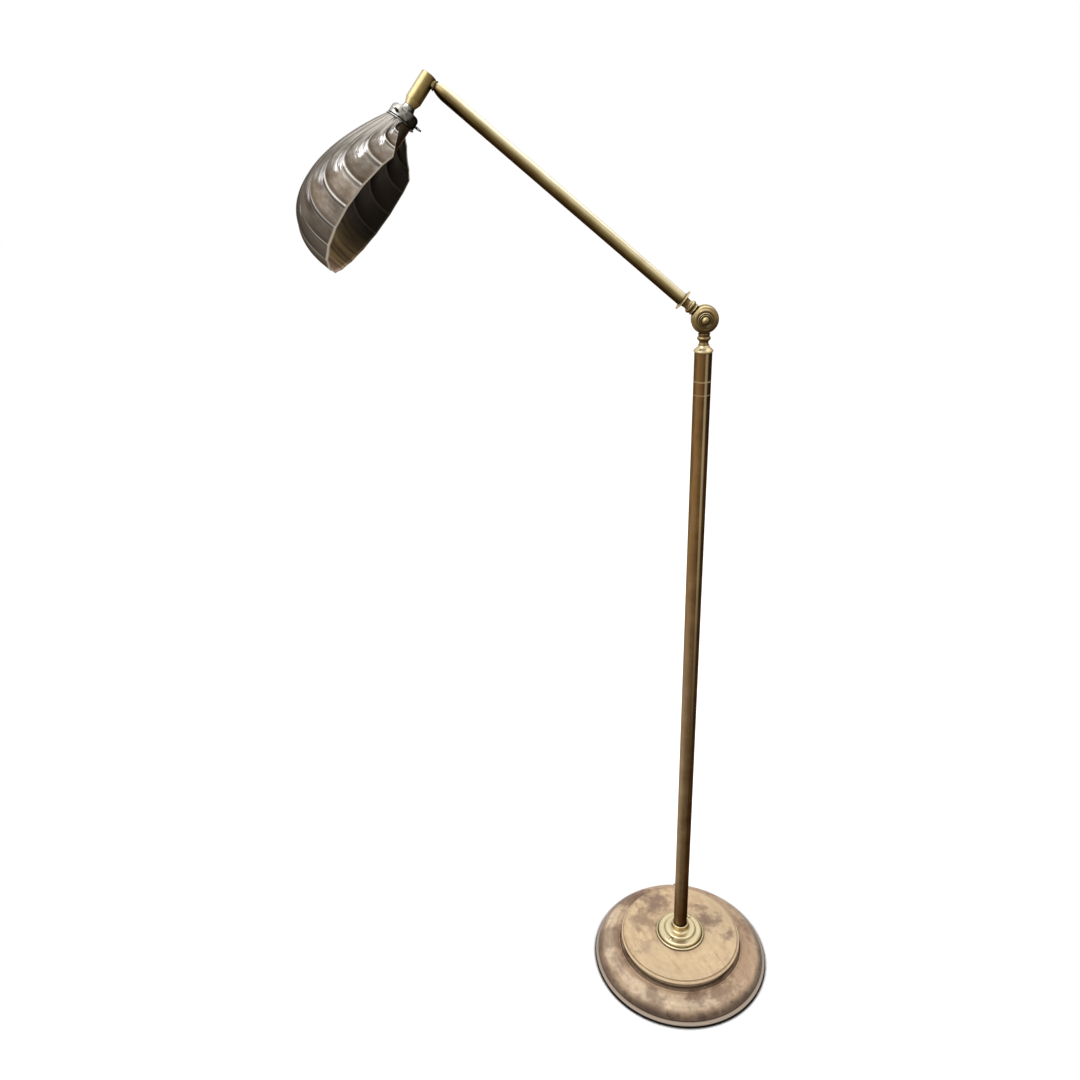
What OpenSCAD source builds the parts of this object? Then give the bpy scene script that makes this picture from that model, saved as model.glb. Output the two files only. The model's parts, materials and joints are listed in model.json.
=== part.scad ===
// Bridge floor lamp: stepped wooden base, brass column with a swivel near its top,
// a friction knuckle, a tilting arm, and a fluted clam-shell shade on a swinging head.
// Millimetres, +Z up. The origin is the centre of the base's underside on the floor,
// the arm lies in the XZ plane and rises towards -X.

/* [Base] */
// Diameter of the lower wooden disc
base_d = 299; // [280:1:340]
// Thickness of the lower wooden disc
base_low_h = 28; // [27.5:0.5:34]
// Diameter of the upper wooden disc's flat top
top_disc_d = 198.4; // [180:0.2:220]
// Thickness of the upper wooden disc
base_up_h = 20.7; // [18:0.1:26]
// Thickness of the felt under the base
felt_t = 1.5; // [1:0.5:3]
// Diameter of the iron ballast plate
weight_d = 190; // [150:1:200]
// Thickness of the iron ballast plate
weight_t = 12.5; // [11:0.5:14]
// Diameter of the cord hole at the back of the base
cord_hole_d = 7; // [6:0.5:9]

/* [Foot flange] */
// Diameter of the brass foot flange
flange_d = 84; // [80:1:96]
// Height of the foot flange
flange_h = 24.8; // [22:0.2:30]
// Diameter of the flange's hub
hub_d = 29; // [28:0.5:34]
// Direction of the first flange screw, in degrees from +X
flange_screw_turn = 236; // [0:1:359]
// Diameter of the threaded rod through the base
rod_d = 9.8; // [8:0.2:11]

/* [Column] */
// Outside diameter of the column
tube_d = 23.2; // [22.5:0.1:26]
// Wall of the column tube
tube_wall = 1.2; // [1:0.1:1.6]
// Length of the long column tube
tube_len = 961; // [700:1:1200]
// Height of the flush swivel ring
ring_h = 17.7; // [12:0.1:24]
// Length of the short turning sleeve above the ring
sleeve_h = 36.7; // [34:0.1:60]
// Height of the bevelled column cap
cap_h = 9.8; // [8:0.1:14]
// Diameter of the bevelled column cap
cap_d = 25.6; // [24:0.1:30]

/* [Knuckle] */
// Height of the knuckle's centre above the column cap
neck_h = 32.7; // [32:0.1:40]
// Diameter of the two knuckle halves
knuckle_d = 34.8; // [34:0.1:38]
// Width of one knuckle half, from the friction washer to its edge
half_w = 8.8; // [8:0.1:12]
// Diameter of the bead on each neck
bead_d = 17.4; // [16:0.1:19.4]
// Diameter of the knuckle bolt
bolt_d = 8; // [7:0.5:9]

/* [Arm] */
// Distance from the knuckle's centre to the head's pivot
arm_len = 422.5; // [300:0.5:500]
// Outside diameter of the arm tube
arm_d = 16.4; // [16:0.1:18]
// Wall of the arm tube
arm_wall = 1; // [0.8:0.1:1.4]
// Rise of the arm above the horizontal, in degrees
arm_rise = 40.5; // [0:0.5:60]
// Diameter of the thin collar where the arm meets its neck
collar_d = 27.5; // [24:0.5:32]

/* [Head] */
// Slant of the head's neck from the vertical, in degrees
head_slant = 37; // [30:0.5:45]
// Swing of the head towards the viewer, in degrees
head_swing = 15.2; // [0:0.1:45]
// Outside diameter of the husk
husk_d = 19.6; // [18:0.1:22]
// Length of the husk, with its tapered end
husk_len = 42; // [40:0.5:50]
// Wall of the husk
husk_wall = 0.9; // [0.8:0.1:1.2]
// Outside diameter of the shade holder's skirt
fitter_d = 35; // [34.6:0.1:37]
// Wall of the shade holder
fitter_wall = 0.8; // [0.6:0.1:1]
// Inside diameter of the lampholder's screw shell
lamp_bore_d = 26.6; // [26.4:0.1:26.8]
// Length of the lampholder's body below the shade holder
holder_len = 38; // [34:0.5:46]
// Direction of the first thumb screw round the neck, in degrees
thumb_turn = 9; // [0:1:119]

/* [Shade] */
// Length of the shade from its neck to its tip
shade_len = 188.7; // [170:0.1:220]
// Widest part of the mouth
shade_w = 154; // [140:1:170]
// Distance from the neck to the mouth's shoulders
shoulder_z = 41.7; // [38:0.1:50]
// Distance between the mouth's shoulders
shoulder_w = 108; // [96:1:116]
// How far the mouth stands in front of the neck's axis
mouth_out = 31.2; // [26:0.1:36]
// Thickness of the shade's metal
shade_wall = 1.4; // [1.2:0.1:1.8]
// Height of the ribs between the flutes
rib_h = 3.2; // [1:0.1:4]
// Turn of the shade on its neck, in degrees
shade_turn = 6; // [0:0.5:20]

/* [Hidden] */

// Smoothness of turned pieces and of small bores
turned_fn = 96;
bore_fn = 48;
// Radial clearance of a screwed or pressed fit, of a running fit, and of free faces
fit_gap = 0.05;
run_gap = 0.05;
free_gap = 0.3;

brass = [0.55, 0.42, 0.22];
column_brass = [0.40, 0.29, 0.16];
pale_brass = [0.66, 0.55, 0.32];
pewter = [0.36, 0.34, 0.33];
wood_tan = [0.66, 0.52, 0.38];
steel = [0.45, 0.45, 0.46];

// Heights of the stand, each one standing on the last
low_top = felt_t + base_low_h;
up_top = low_top + base_up_h;
// Air between the felt and the ballast, and depth of the hub's socket for the column
weight_lift = 1.5;
hub_depth = 6.5;
weight_top = felt_t + weight_lift + weight_t;
hub_floor = up_top + flange_h - hub_depth;
tube_top = hub_floor + tube_len;
ring_top = tube_top + ring_h;
sleeve_bottom = ring_top + free_gap;
sleeve_top = sleeve_bottom + sleeve_h;
cap_top = sleeve_top + cap_h;
knuckle_z = cap_top + neck_h;
rod_hole_d = rod_d + 0.6;
tube_in_r = tube_d / 2 - tube_wall;

// Cord hole: its height, its bush's wall and how far the bush stays inside the rounded edge
cord_z = felt_t + 9;
bush_wall = 1;
bush_len = 20;
bush_inset = 5.6;

// Lower disc: the thin band at the floor, the crown above it and the bead round the upper disc
band_r = 2.4;
band_top = felt_t + 2 * band_r;
crown_inner = 12.2;
crown_set = 1.2;
bead_out = 7.5;
bead_r = 2;

// Recess in the ballast for the washer and the nut
nut_recess_d = 30;
nut_recess_h = 8;
washer_t = 1.5;
nut_h = 5;
nut_across = 17;
rod_wall = 1.5;

// Foot flange: its lower step, its two screws and the plug that takes the threaded rod
flange_step_z = up_top + 7.6;
flange_lip = 1.3;
flange_screw_r = 1.9;
flange_screw_len = 14;
flange_screw_head_r = 3.45;
flange_screw_at = flange_d / 2 - 10.9;
plug_len = 24;
rod_in_plug = 22;

// Swivel at the column's top
post_r = 6;
post_bore_r = 3.5;
post_foot = 24;
post_top = sleeve_top - 6;
swivel_bush_h = sleeve_h - 14;
swivel_washer_t = 1;
swivel_nut_h = 5;
cap_sink = 5;

// Knuckle
knuckle_r = knuckle_d / 2;
washer_gap = 0.4;
washer_play = 0.1;
face_rise = 3;
face_y = washer_gap + half_w + face_rise;
rim_r = 4;
rosette_r = 9.8;
rosette_h = 2.6;
dome_r = 5.6;
dome_sink = 1.8;
bolt_r = bolt_d / 2;
stud_r = 4.8;
neck_clear = 0.7;
neck_r_near = 7.9;
neck_root_r = 7;
neck_waist_r = 5.9;
neck_end_r = 6.6;
bead_at = 24;
bead_curve = 3.2;

// Arm, along its own axis from the knuckle's centre
collar_at = 35.4;
collar_t = 3;
arm_tube_at = collar_at + collar_t;
tip_back = 14.5;
arm_tube_end = arm_len - tip_back;
spigot_r = arm_d / 2 - arm_wall - fit_gap;
spigot_len = 18;
collar_seat_r = 6.5;
tip_boss_r = 5;
tip_boss_len = 14;
// The tip narrows on one long curve towards the washer
tip_len = 15;
tip_curve_r = 45;
pivot_r = 2.4;
pivot_head_r = 3.4;
pivot_head_t = 2.2;
pivot_reach = 7;
wire_r = 1.3;

// Head, along its neck from the pivot's height downwards
neck_axis = 14.8;
husk_top = -6;
husk_end = husk_top + husk_len;
husk_taper = 8;
husk_end_r = 6.6;
husk_r = husk_d / 2;
husk_cap_t = 2;
pad_r = 5.6;
pad_in = 5.5;
boss_face = neck_axis - husk_r - 1.6;
tip_washer_r = 6.4;
tip_washer_t = 0.8;
nipple_r = 4.85;
nipple_bore_r = 3.4;
nipple_out = 4;
nipple_in = 6;
husk_nut_across = 14;
husk_nut_h = 4;
fitter_top = husk_end + 0.1;
fitter_r = fitter_d / 2;
dome_h = 10;
fitter_neck_r = 7.3;
skirt_at = fitter_top + dome_h;
skirt_h = 8.3;
thumb_at = skirt_at + 4.4;
thumb_r = 1.6;
thumb_out = 4.6;
thumb_head_r = 3.4;
thumb_head_t = 1.6;
neck_tube_r = fitter_r - 1.9;
neck_wall = 0.65;
lip_r = fitter_r - fitter_wall - free_gap;
lip_t = 1;
neck_plane = skirt_at + skirt_h + 2.6;
shell_wall = 0.4;
screw_shell_r = lamp_bore_d / 2;
liner_t = 0.25;
holder_r = screw_shell_r + shell_wall + liner_t + shell_wall + 2 * fit_gap;
holder_at = skirt_at + skirt_h;
holder_end = holder_at + holder_len;
holder_bead = 0.6;
core_h = 7;
// The core's rim carries the screw shell, and the centre contact lies sunk inside it
core_rim_h = 1.8;
core_well_r = 9.5;
core_at = holder_at + 5;
screw_shell_in = 2;
contact_r = 2.6;
contact_t = 1;
spring_w = 4;
spring_len = 6.5;
spring_t = 0.7;

// Shade: half the flutes, the flute at the shoulder, and the mesh's steps
half_flutes = 9;
shoulder_flute = 7;
steps_per_flute = 6;
rib_rows = 16;
neck_open = 112;
neck_r = fitter_r + 0.9;
// Shape of a rib: how far it keeps to the neck's slope and to the mouth's square
rib_start = 0.53;
rib_end = 0.49;
neck_flare = 30.6;

// ---------------------------------------------------------------- helpers

// Points of an arc, for a turned profile
function arc(c, r, from, to, n = 10) =
    [for (i = [0:n]) c + r * [cos(from + (to - from) * i / n), sin(from + (to - from) * i / n)]];

module turned(profile) {
    rotate_extrude($fn = turned_fn) polygon(profile);
}

module ring(r_out, r_in, h) {
    difference() {
        cylinder(r = r_out, h = h, $fn = turned_fn);
        translate([0, 0, -1]) cylinder(r = r_in, h = h + 2, $fn = turned_fn);
    }
}

module hex(across, h) {
    cylinder(d = across / cos(30), h = h, $fn = 6);
}

// The arm's own frame: origin at the knuckle's centre, +Z along the arm
module along_arm() {
    translate([0, 0, knuckle_z]) rotate([0, arm_rise - 90, 0]) children();
}

// The head's pivot: origin on the pivot, +X along the pivot's axis, away from the husk
module at_pivot() {
    translate([-arm_len * cos(arm_rise), 0, knuckle_z + arm_len * sin(arm_rise)])
        rotate([-head_swing, head_slant, 0]) children();
}

// The head's neck: +Z up the neck, a depth below the pivot given as a positive number
module on_neck(depth) {
    at_pivot() translate([-neck_axis, 0, -depth]) children();
}

// ---------------------------------------------------------------- stand

module base_felt() {
    color([0.16, 0.13, 0.11]) cylinder(d = base_d - 10, h = felt_t, $fn = turned_fn);
}

module base_lower() {
    r = base_d / 2;
    // The crown runs from just above the band to just outside the bead, whatever the disc's width
    crown_at = top_disc_d / 2 + crown_inner;
    crown_r = r - crown_set - crown_at;
    crown_from = asin((band_top + 2.5 - low_top + crown_r) / crown_r);
    color(wood_tan) difference() {
        turned(concat(
            [[0, felt_t], [r - band_r - 0.8, felt_t]],
            arc([r - band_r, felt_t + band_r + 0.4], band_r, -70, 90, 10),
            [[r - 4.4, band_top + 1], [r - 4.6, band_top + 1.6]],
            arc([crown_at, low_top - crown_r], crown_r, crown_from, 88, 16),
            arc([top_disc_d / 2 + bead_out, low_top - 0.4], bead_r, 20, 160, 8),
            [[top_disc_d / 2 + bead_out - 2.5, low_top], [0, low_top]]));
        translate([0, 0, felt_t - 1])
            cylinder(d = weight_d + 2, h = weight_top - felt_t + 1, $fn = turned_fn);
        cylinder(d = rod_hole_d, h = low_top + 1, $fn = bore_fn);
        translate([0, 0, cord_z]) rotate([-90, 0, 0])
            cylinder(r = cord_hole_d / 2 + bush_wall + fit_gap, h = base_d, $fn = bore_fn);
    }
}

module base_upper() {
    r = top_disc_d / 2;
    cove = 8;
    color(wood_tan * 1.12) difference() {
        turned(concat(
            [[0, low_top], [r - 2, low_top], [r - 2, low_top + 2]],
            arc([r + 1.4, low_top + 1.6 + cove], cove, 197, 130, 8),
            [[r + 0.8, up_top - 8.2]],
            arc([r + 1.2, up_top - 5], 3, -80, 68, 10),
            [[r + 0.6, up_top - 2.6], [r, up_top - 2.2], [r, up_top - 0.8], [r - 0.8, up_top],
                [0, up_top]]));
        translate([0, 0, low_top - 1]) cylinder(d = rod_hole_d, h = base_up_h + 2, $fn = bore_fn);
        flange_screw_places() translate([0, 0, flange_step_z - flange_screw_len - 0.5])
            cylinder(r = flange_screw_r + 0.1, h = flange_screw_len, $fn = bore_fn);
    }
}

module base_weight() {
    color([0.2, 0.2, 0.2]) difference() {
        translate([0, 0, weight_top - weight_t]) cylinder(d = weight_d, h = weight_t, $fn = turned_fn);
        translate([0, 0, weight_top - weight_t - 1])
            cylinder(d = nut_recess_d, h = nut_recess_h + 1, $fn = turned_fn);
        cylinder(d = rod_hole_d, h = weight_top + 1, $fn = bore_fn);
        translate([-cord_hole_d / 2, 0, 0]) cube([cord_hole_d, weight_d, cord_z]);
    }
}

module rod_washer() {
    color(steel) translate([0, 0, weight_top - weight_t + nut_recess_h - washer_t])
        ring(nut_recess_d / 2 - 2, rod_d / 2 + 0.3, washer_t);
}

module rod_nut() {
    top = weight_top - weight_t + nut_recess_h - washer_t;
    color(steel) difference() {
        translate([0, 0, top - nut_h]) hex(nut_across, nut_h);
        cylinder(r = rod_d / 2 + fit_gap, h = top + 1, $fn = bore_fn);
    }
}

module threaded_rod() {
    bottom = weight_top - weight_t + 0.5;
    color(steel) translate([0, 0, bottom])
        ring(rod_d / 2, rod_d / 2 - rod_wall, hub_floor + rod_in_plug - bottom);
}

module cord_bush() {
    color("black") translate([0, base_d / 2 - bush_inset, cord_z]) rotate([90, 0, 0])
        ring(cord_hole_d / 2 + bush_wall, cord_hole_d / 2, bush_len);
}

module flange_screw_places() {
    for (turn = [0, 180])
        rotate([0, 0, flange_screw_turn + turn]) translate([flange_screw_at, 0, 0]) children();
}

module foot_flange() {
    r = flange_d / 2;
    top = up_top + flange_h;
    color(pale_brass) difference() {
        turned(concat(
            [[rod_d / 2 + fit_gap, up_top + 3], [r - 10, up_top + 3], [r - 8, up_top]],
            arc([r - 1.9, up_top + 1.9], 1.9, -90, 90, 8),
            [[r - 3.6, up_top + 3.4]],
            arc([r - 8.5, up_top + 4.6], 4.4, 0, 75, 8),
            [[r - 14.6, flange_step_z + flange_lip - 0.1]],
            arc([r - 18.5, flange_step_z + flange_lip + 0.5], 3.4, 0, 80, 6),
            arc([hub_d / 2 + 5, flange_step_z + 10], 5, 250, 180, 6),
            arc([hub_d / 2 - 1.5, top - 1.5], 1.5, 0, 90, 5),
            [[tube_d / 2 + fit_gap, top], [tube_d / 2 + fit_gap, hub_floor],
                [rod_d / 2 + fit_gap, hub_floor]]));
        flange_screw_places() translate([0, 0, up_top - 1])
            cylinder(r = flange_screw_r + 0.3, h = 20, $fn = bore_fn);
    }
}

module flange_screws() {
    head_r = flange_screw_head_r;
    color(pale_brass) flange_screw_places() translate([0, 0, flange_step_z + flange_lip]) {
        intersection() {
            translate([0, 0, -head_r * 0.6]) sphere(r = head_r * 1.17, $fn = 40);
            cylinder(r = head_r, h = head_r, $fn = 40);
        }
        translate([0, 0, -flange_screw_len - 0.5])
            cylinder(r = flange_screw_r, h = flange_screw_len + 0.6, $fn = bore_fn);
    }
}

module foot_plug() {
    color(brass) translate([0, 0, hub_floor]) ring(tube_in_r - fit_gap, rod_d / 2 + fit_gap, plug_len);
}

module column_tube() {
    color(column_brass) translate([0, 0, hub_floor]) ring(tube_d / 2, tube_in_r, tube_len);
}

// ---------------------------------------------------------------- swivel at the column's top

module swivel_post() {
    color(column_brass) difference() {
        union() {
            translate([0, 0, tube_top - post_foot])
                cylinder(r = tube_in_r - fit_gap, h = post_foot, $fn = turned_fn);
            translate([0, 0, tube_top]) cylinder(d = tube_d, h = ring_h, $fn = turned_fn);
            translate([0, 0, ring_top - 1])
                cylinder(r = post_r, h = post_top - ring_top + 1, $fn = turned_fn);
        }
        translate([0, 0, tube_top - post_foot - 1])
            cylinder(r = post_bore_r, h = post_top - tube_top + post_foot + 2, $fn = bore_fn);
    }
}

module swivel_bush() {
    color(brass) translate([0, 0, sleeve_bottom])
        ring(tube_in_r - fit_gap, post_r + run_gap, swivel_bush_h);
}

module swivel_washer() {
    color(steel) translate([0, 0, sleeve_bottom + swivel_bush_h + free_gap])
        ring(tube_in_r - 1, post_r + fit_gap, swivel_washer_t);
}

module swivel_nut() {
    bottom = sleeve_bottom + swivel_bush_h + free_gap + swivel_washer_t;
    color(steel) translate([0, 0, bottom]) difference() {
        hex(nut_across, swivel_nut_h);
        translate([0, 0, -1]) cylinder(r = post_r + fit_gap, h = swivel_nut_h + 2, $fn = bore_fn);
    }
}

module column_sleeve() {
    color(column_brass) translate([0, 0, sleeve_bottom]) ring(tube_d / 2, tube_in_r, sleeve_h);
}

module column_cap() {
    r = cap_d / 2;
    color(pale_brass) turned(concat(
        [[stud_r + fit_gap, sleeve_top - cap_sink], [tube_in_r - fit_gap, sleeve_top - cap_sink],
            [tube_in_r - fit_gap, sleeve_top], [tube_d / 2 - 0.5, sleeve_top],
            [tube_d / 2 - 0.5, sleeve_top + 0.8]],
        arc([r - 1.6, sleeve_top + 2.6], 1.6, -80, 60, 8),
        arc([r + 0.5, cap_top + 1.2], 6.3, 222, 191, 6),
        [[stud_r + fit_gap, cap_top]]));
}

// ---------------------------------------------------------------- knuckle

// One half of the knuckle lying on the friction washer, with its pivot along +Y
module knuckle_half(bore_r) {
    rotate([-90, 0, 0]) turned(concat(
        [[bore_r, washer_gap], [knuckle_r - 0.6, washer_gap], [knuckle_r, washer_gap + 0.6],
            [knuckle_r, washer_gap + half_w - rim_r]],
        arc([knuckle_r - rim_r, washer_gap + half_w - rim_r], rim_r, 0, 75, 8),
        [[knuckle_r - rim_r, washer_gap + half_w + 0.7]],
        arc([knuckle_r - 5.4, washer_gap + half_w + 0.9], 1.5, 0, 80, 5),
        [[bore_r, face_y]]));
}

// A turned neck from the knuckle outwards along +Z, with its bead
module knuckle_neck(end) {
    near = knuckle_r + neck_clear;
    turned(concat(
        [[0, near], [neck_r_near - 0.3, near], [neck_r_near, near + 0.6],
            [neck_r_near - 0.6, near + 1.8]],
        arc([bead_d / 2 - bead_curve, bead_at], bead_curve, -60, 70, 10),
        [[neck_waist_r + 0.3, bead_at + 4], [neck_waist_r, bead_at + 5.4], [neck_end_r, end], [0, end]]));
}

// The part of the neck that reaches into the half, on the half's own side of the washer
module neck_root() {
    intersection() {
        cylinder(r = neck_root_r, h = knuckle_r + neck_clear + 0.2, $fn = turned_fn);
        translate([-20, washer_gap, bolt_r + 3]) cube([40, half_w, knuckle_r + 5]);
    }
}

module knuckle_lower() {
    color(brass) translate([0, 0, knuckle_z]) {
        mirror([0, 1, 0]) knuckle_half(bolt_r + fit_gap);
        rotate([180, 0, 0]) {
            neck_root();
            knuckle_neck(neck_h);
            translate([0, 0, neck_h - 0.1]) cylinder(r = stud_r, h = cap_h + cap_sink - 2, $fn = bore_fn);
        }
    }
}

module knuckle_washer() {
    color([0.2, 0.16, 0.12]) translate([0, 0, knuckle_z]) rotate([90, 0, 0])
        translate([0, 0, -washer_gap + washer_play])
            ring(knuckle_r - 2, bolt_r + fit_gap, 2 * (washer_gap - washer_play));
}

module knuckle_rosette() {
    color(brass) translate([0, 0, knuckle_z]) rotate([90, 0, 0]) turned(concat(
        [[bolt_r + fit_gap, face_y], [rosette_r, face_y]],
        arc([rosette_r - 1.2, face_y + 0.9], 1.2, 0, 80, 5),
        [[rosette_r - 2.2, face_y + 1.5]],
        arc([rosette_r - 3.1, face_y + rosette_h - 0.4], 0.9, 0, 90, 5),
        [[dome_r + free_gap, face_y + rosette_h], [bolt_r + fit_gap, face_y + rosette_h]]));
}

module knuckle_bolt() {
    head_y = face_y + rosette_h + 0.05;
    shank_end = face_y + 6;
    color(brass) translate([0, 0, knuckle_z]) rotate([90, 0, 0]) {
        turned(concat(
            [[0, head_y], [dome_r - 0.4, head_y]],
            arc([0, head_y - dome_sink], dome_r, 20, 90, 8)));
        translate([0, 0, -shank_end]) cylinder(r = bolt_r, h = head_y + shank_end + 1, $fn = turned_fn);
    }
}

module knuckle_nut() {
    color(brass) translate([0, 0, knuckle_z]) rotate([-90, 0, 0]) turned(concat(
        [[bolt_r + fit_gap, face_y + free_gap], [8.4, face_y + free_gap], [8.4, face_y + 2]],
        arc([2.4, face_y + 2.4], 6, 0, 80, 8),
        [[0, face_y + 8.5], [0, face_y + 6.5], [bolt_r + fit_gap, face_y + 6.5]]));
}

// ---------------------------------------------------------------- arm

module knuckle_upper() {
    color(brass) along_arm() {
        rotate([0, 90, 0]) knuckle_half(bolt_r + run_gap);
        neck_root();
        knuckle_neck(collar_at);
        translate([0, 0, collar_at - 0.1]) cylinder(r = collar_seat_r, h = collar_t + 0.2, $fn = turned_fn);
        translate([0, 0, arm_tube_at + 0.1]) cylinder(r = spigot_r, h = spigot_len, $fn = turned_fn);
    }
}

module arm_collar() {
    r = collar_d / 2;
    color(pale_brass) along_arm() turned(concat(
        [[collar_seat_r + fit_gap, collar_at], [r - 4, collar_at]],
        arc([r - 0.5, collar_at + collar_t / 2], 0.5, -90, 90, 6),
        [[r - 4, collar_at + collar_t], [collar_seat_r + fit_gap, collar_at + collar_t]]));
}

module arm_tube() {
    color(brass) along_arm() translate([0, 0, arm_tube_at + 0.05])
        ring(arm_d / 2, arm_d / 2 - arm_wall, arm_tube_end - arm_tube_at - 0.05);
}

module arm_tip() {
    color(brass) difference() {
        union() {
            along_arm() translate([0, 0, arm_tube_end - spigot_len])
                cylinder(r = spigot_r, h = spigot_len + 1, $fn = turned_fn);
            along_arm() translate([0, 0, arm_tube_end + fit_gap]) turned(concat(
                [[0, 0]], arc([arm_d / 2 - tip_curve_r, 0], tip_curve_r, 0, asin(tip_len / tip_curve_r), 6),
                [[0, tip_len]]));
            at_pivot() translate([-boss_face + tip_washer_t + 0.1, 0, 0]) rotate([0, 90, 0])
                cylinder(r = tip_boss_r, h = tip_boss_len, $fn = turned_fn);
        }
        at_pivot() translate([-10, 0, 0]) rotate([0, 90, 0])
            cylinder(r = pivot_r + fit_gap, h = 20, $fn = bore_fn);
    }
}

module tip_washer() {
    color([0.12, 0.09, 0.06]) at_pivot() translate([-boss_face + 0.05, 0, 0]) rotate([0, 90, 0])
        ring(tip_washer_r, pivot_r + fit_gap, tip_washer_t);
}

module pivot_screw() {
    seat = neck_axis - pad_in + free_gap;
    color(steel) at_pivot() translate([-seat, 0, 0]) rotate([0, 90, 0]) difference() {
        union() {
            translate([0, 0, -0.1]) cylinder(r = pivot_r, h = seat + pivot_reach + 0.1, $fn = bore_fn);
            translate([0, 0, -pivot_head_t]) cylinder(r = pivot_head_r, h = pivot_head_t, $fn = bore_fn);
        }
        translate([0, 0, -pivot_head_t - 1])
            cylinder(r = wire_r, h = seat + pivot_reach + pivot_head_t + 2, $fn = bore_fn);
    }
}

// ---------------------------------------------------------------- head

module husk() {
    inner_r = husk_r - husk_wall;
    color(brass) difference() {
        union() {
            on_neck(husk_end) turned([
                [nipple_r + fit_gap, 0], [husk_end_r, 0], [husk_r, husk_taper], [husk_r, husk_len - 0.6],
                [husk_r - 0.6, husk_len], [inner_r, husk_len], [inner_r, husk_taper],
                [nipple_r + fit_gap, husk_taper]]);
            at_pivot() translate([-neck_axis + pad_in, 0, 0]) rotate([0, 90, 0])
                cylinder(r = pad_r, h = neck_axis - pad_in - boss_face, $fn = turned_fn);
        }
        at_pivot() translate([-neck_axis, 0, 0]) rotate([0, 90, 0])
            cylinder(r = pivot_r + run_gap, h = neck_axis, $fn = bore_fn);
        on_neck(husk_top) translate([0, 0, -husk_cap_t - 0.4])
            cylinder(r = inner_r, h = husk_cap_t + 2, $fn = turned_fn);
    }
}

module husk_cap() {
    color(brass) on_neck(husk_top) translate([0, 0, -husk_cap_t - 0.2])
        cylinder(r = husk_r - husk_wall - fit_gap, h = husk_cap_t, $fn = turned_fn);
}

module husk_nut() {
    color(steel) on_neck(husk_end - husk_taper - 0.05) difference() {
        hex(husk_nut_across, husk_nut_h);
        translate([0, 0, -1]) cylinder(r = nipple_r + fit_gap, h = husk_nut_h + 2, $fn = bore_fn);
    }
}

module nipple() {
    bottom = skirt_at + nipple_out;
    color(steel) on_neck(bottom) ring(nipple_r, nipple_bore_r, bottom - husk_end + husk_taper + nipple_in);
}

module thumb_places() {
    for (i = [0:2]) rotate([0, 0, thumb_turn + 120 * i]) children();
}

module shade_holder() {
    in_r = fitter_r - fitter_wall;
    color(pewter) difference() {
        on_neck(skirt_at + skirt_h) turned(concat(
            [[in_r, 0], [fitter_r, 0], [fitter_r, skirt_h - 0.5]],
            arc([fitter_r - 5, skirt_h - 0.5], 5, 0, 60, 8),
            arc([13, skirt_h + 8.2], 5.2, 240, 190, 6),
            [[fitter_neck_r, skirt_h + dome_h - 1], [fitter_neck_r, skirt_h + dome_h],
                [nipple_r + fit_gap, skirt_h + dome_h],
                [nipple_r + fit_gap, skirt_h + 5], [8, skirt_h + 3.2], [12.6, skirt_h + 2.2]],
            arc([in_r - 3, skirt_h - 0.8], 3, 70, 0, 6)));
        on_neck(thumb_at) thumb_places() translate([neck_tube_r - 3, 0, 0]) rotate([0, 90, 0])
            cylinder(r = thumb_r + fit_gap, h = fitter_r - neck_tube_r + 5, $fn = bore_fn);
    }
}

module thumb_screws() {
    tip = neck_tube_r + free_gap;
    paddle_at = fitter_r + thumb_out;
    color(pewter) on_neck(thumb_at) thumb_places() {
        translate([tip, 0, 0]) rotate([0, 90, 0]) cylinder(r = thumb_r, h = paddle_at - tip, $fn = bore_fn);
        translate([paddle_at, 0, -thumb_head_t / 2])
            cylinder(r = thumb_head_r, h = thumb_head_t, $fn = bore_fn);
    }
}

module holder_cap() {
    color([0.12, 0.09, 0.07]) on_neck(holder_at) turned([
        [nipple_r + fit_gap, skirt_h - 1.5], [nipple_r + fit_gap, skirt_h + 1.8],
        [8.5, skirt_h + 1.8], [holder_r - 2, skirt_h - 0.2], [holder_r, skirt_h - 2.2],
        [holder_r, 0.05], [holder_r - shell_wall, 0.05], [holder_r - shell_wall, skirt_h - 2.6],
        [8.5, skirt_h - 1.5]]);
}

module holder_shell() {
    bead = holder_bead;
    color([0.12, 0.09, 0.07]) on_neck(holder_end) turned(concat(
        [[holder_r - shell_wall, 0]],
        arc([holder_r - shell_wall + bead, bead], bead, -90, 90, 6),
        [[holder_r, 2 * bead + 0.4], [holder_r, holder_len], [holder_r - shell_wall, holder_len]]));
}

module holder_liner() {
    color([0.5, 0.4, 0.28]) on_neck(holder_end - 0.5)
        ring(screw_shell_r + shell_wall + fit_gap + liner_t, screw_shell_r + shell_wall + fit_gap,
            holder_len - 4);
}

module screw_shell() {
    color(pale_brass) on_neck(holder_end - screw_shell_in)
        ring(screw_shell_r + shell_wall, screw_shell_r,
            holder_end - screw_shell_in - core_at - core_h - core_rim_h);
}

module holder_core() {
    color([0.08, 0.07, 0.07]) on_neck(core_at + core_h + core_rim_h) difference() {
        cylinder(r = screw_shell_r + shell_wall, h = core_rim_h + core_h - fit_gap, $fn = turned_fn);
        translate([0, 0, -1]) cylinder(r = core_well_r, h = core_rim_h + 1, $fn = turned_fn);
    }
}

module centre_contact() {
    color(pale_brass) on_neck(core_at + core_h + contact_t) {
        cylinder(r = contact_r, h = contact_t, $fn = bore_fn);
        translate([-spring_len, -spring_w / 2, contact_t - spring_t])
            cube([spring_len, spring_w, spring_t]);
    }
}

// ---------------------------------------------------------------- shade

// The shade's own frame: origin on the neck's axis at the neck plane, +X towards the mouth
module at_shade() {
    on_neck(neck_plane) rotate([0, 0, -shade_turn]) children();
}

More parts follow.
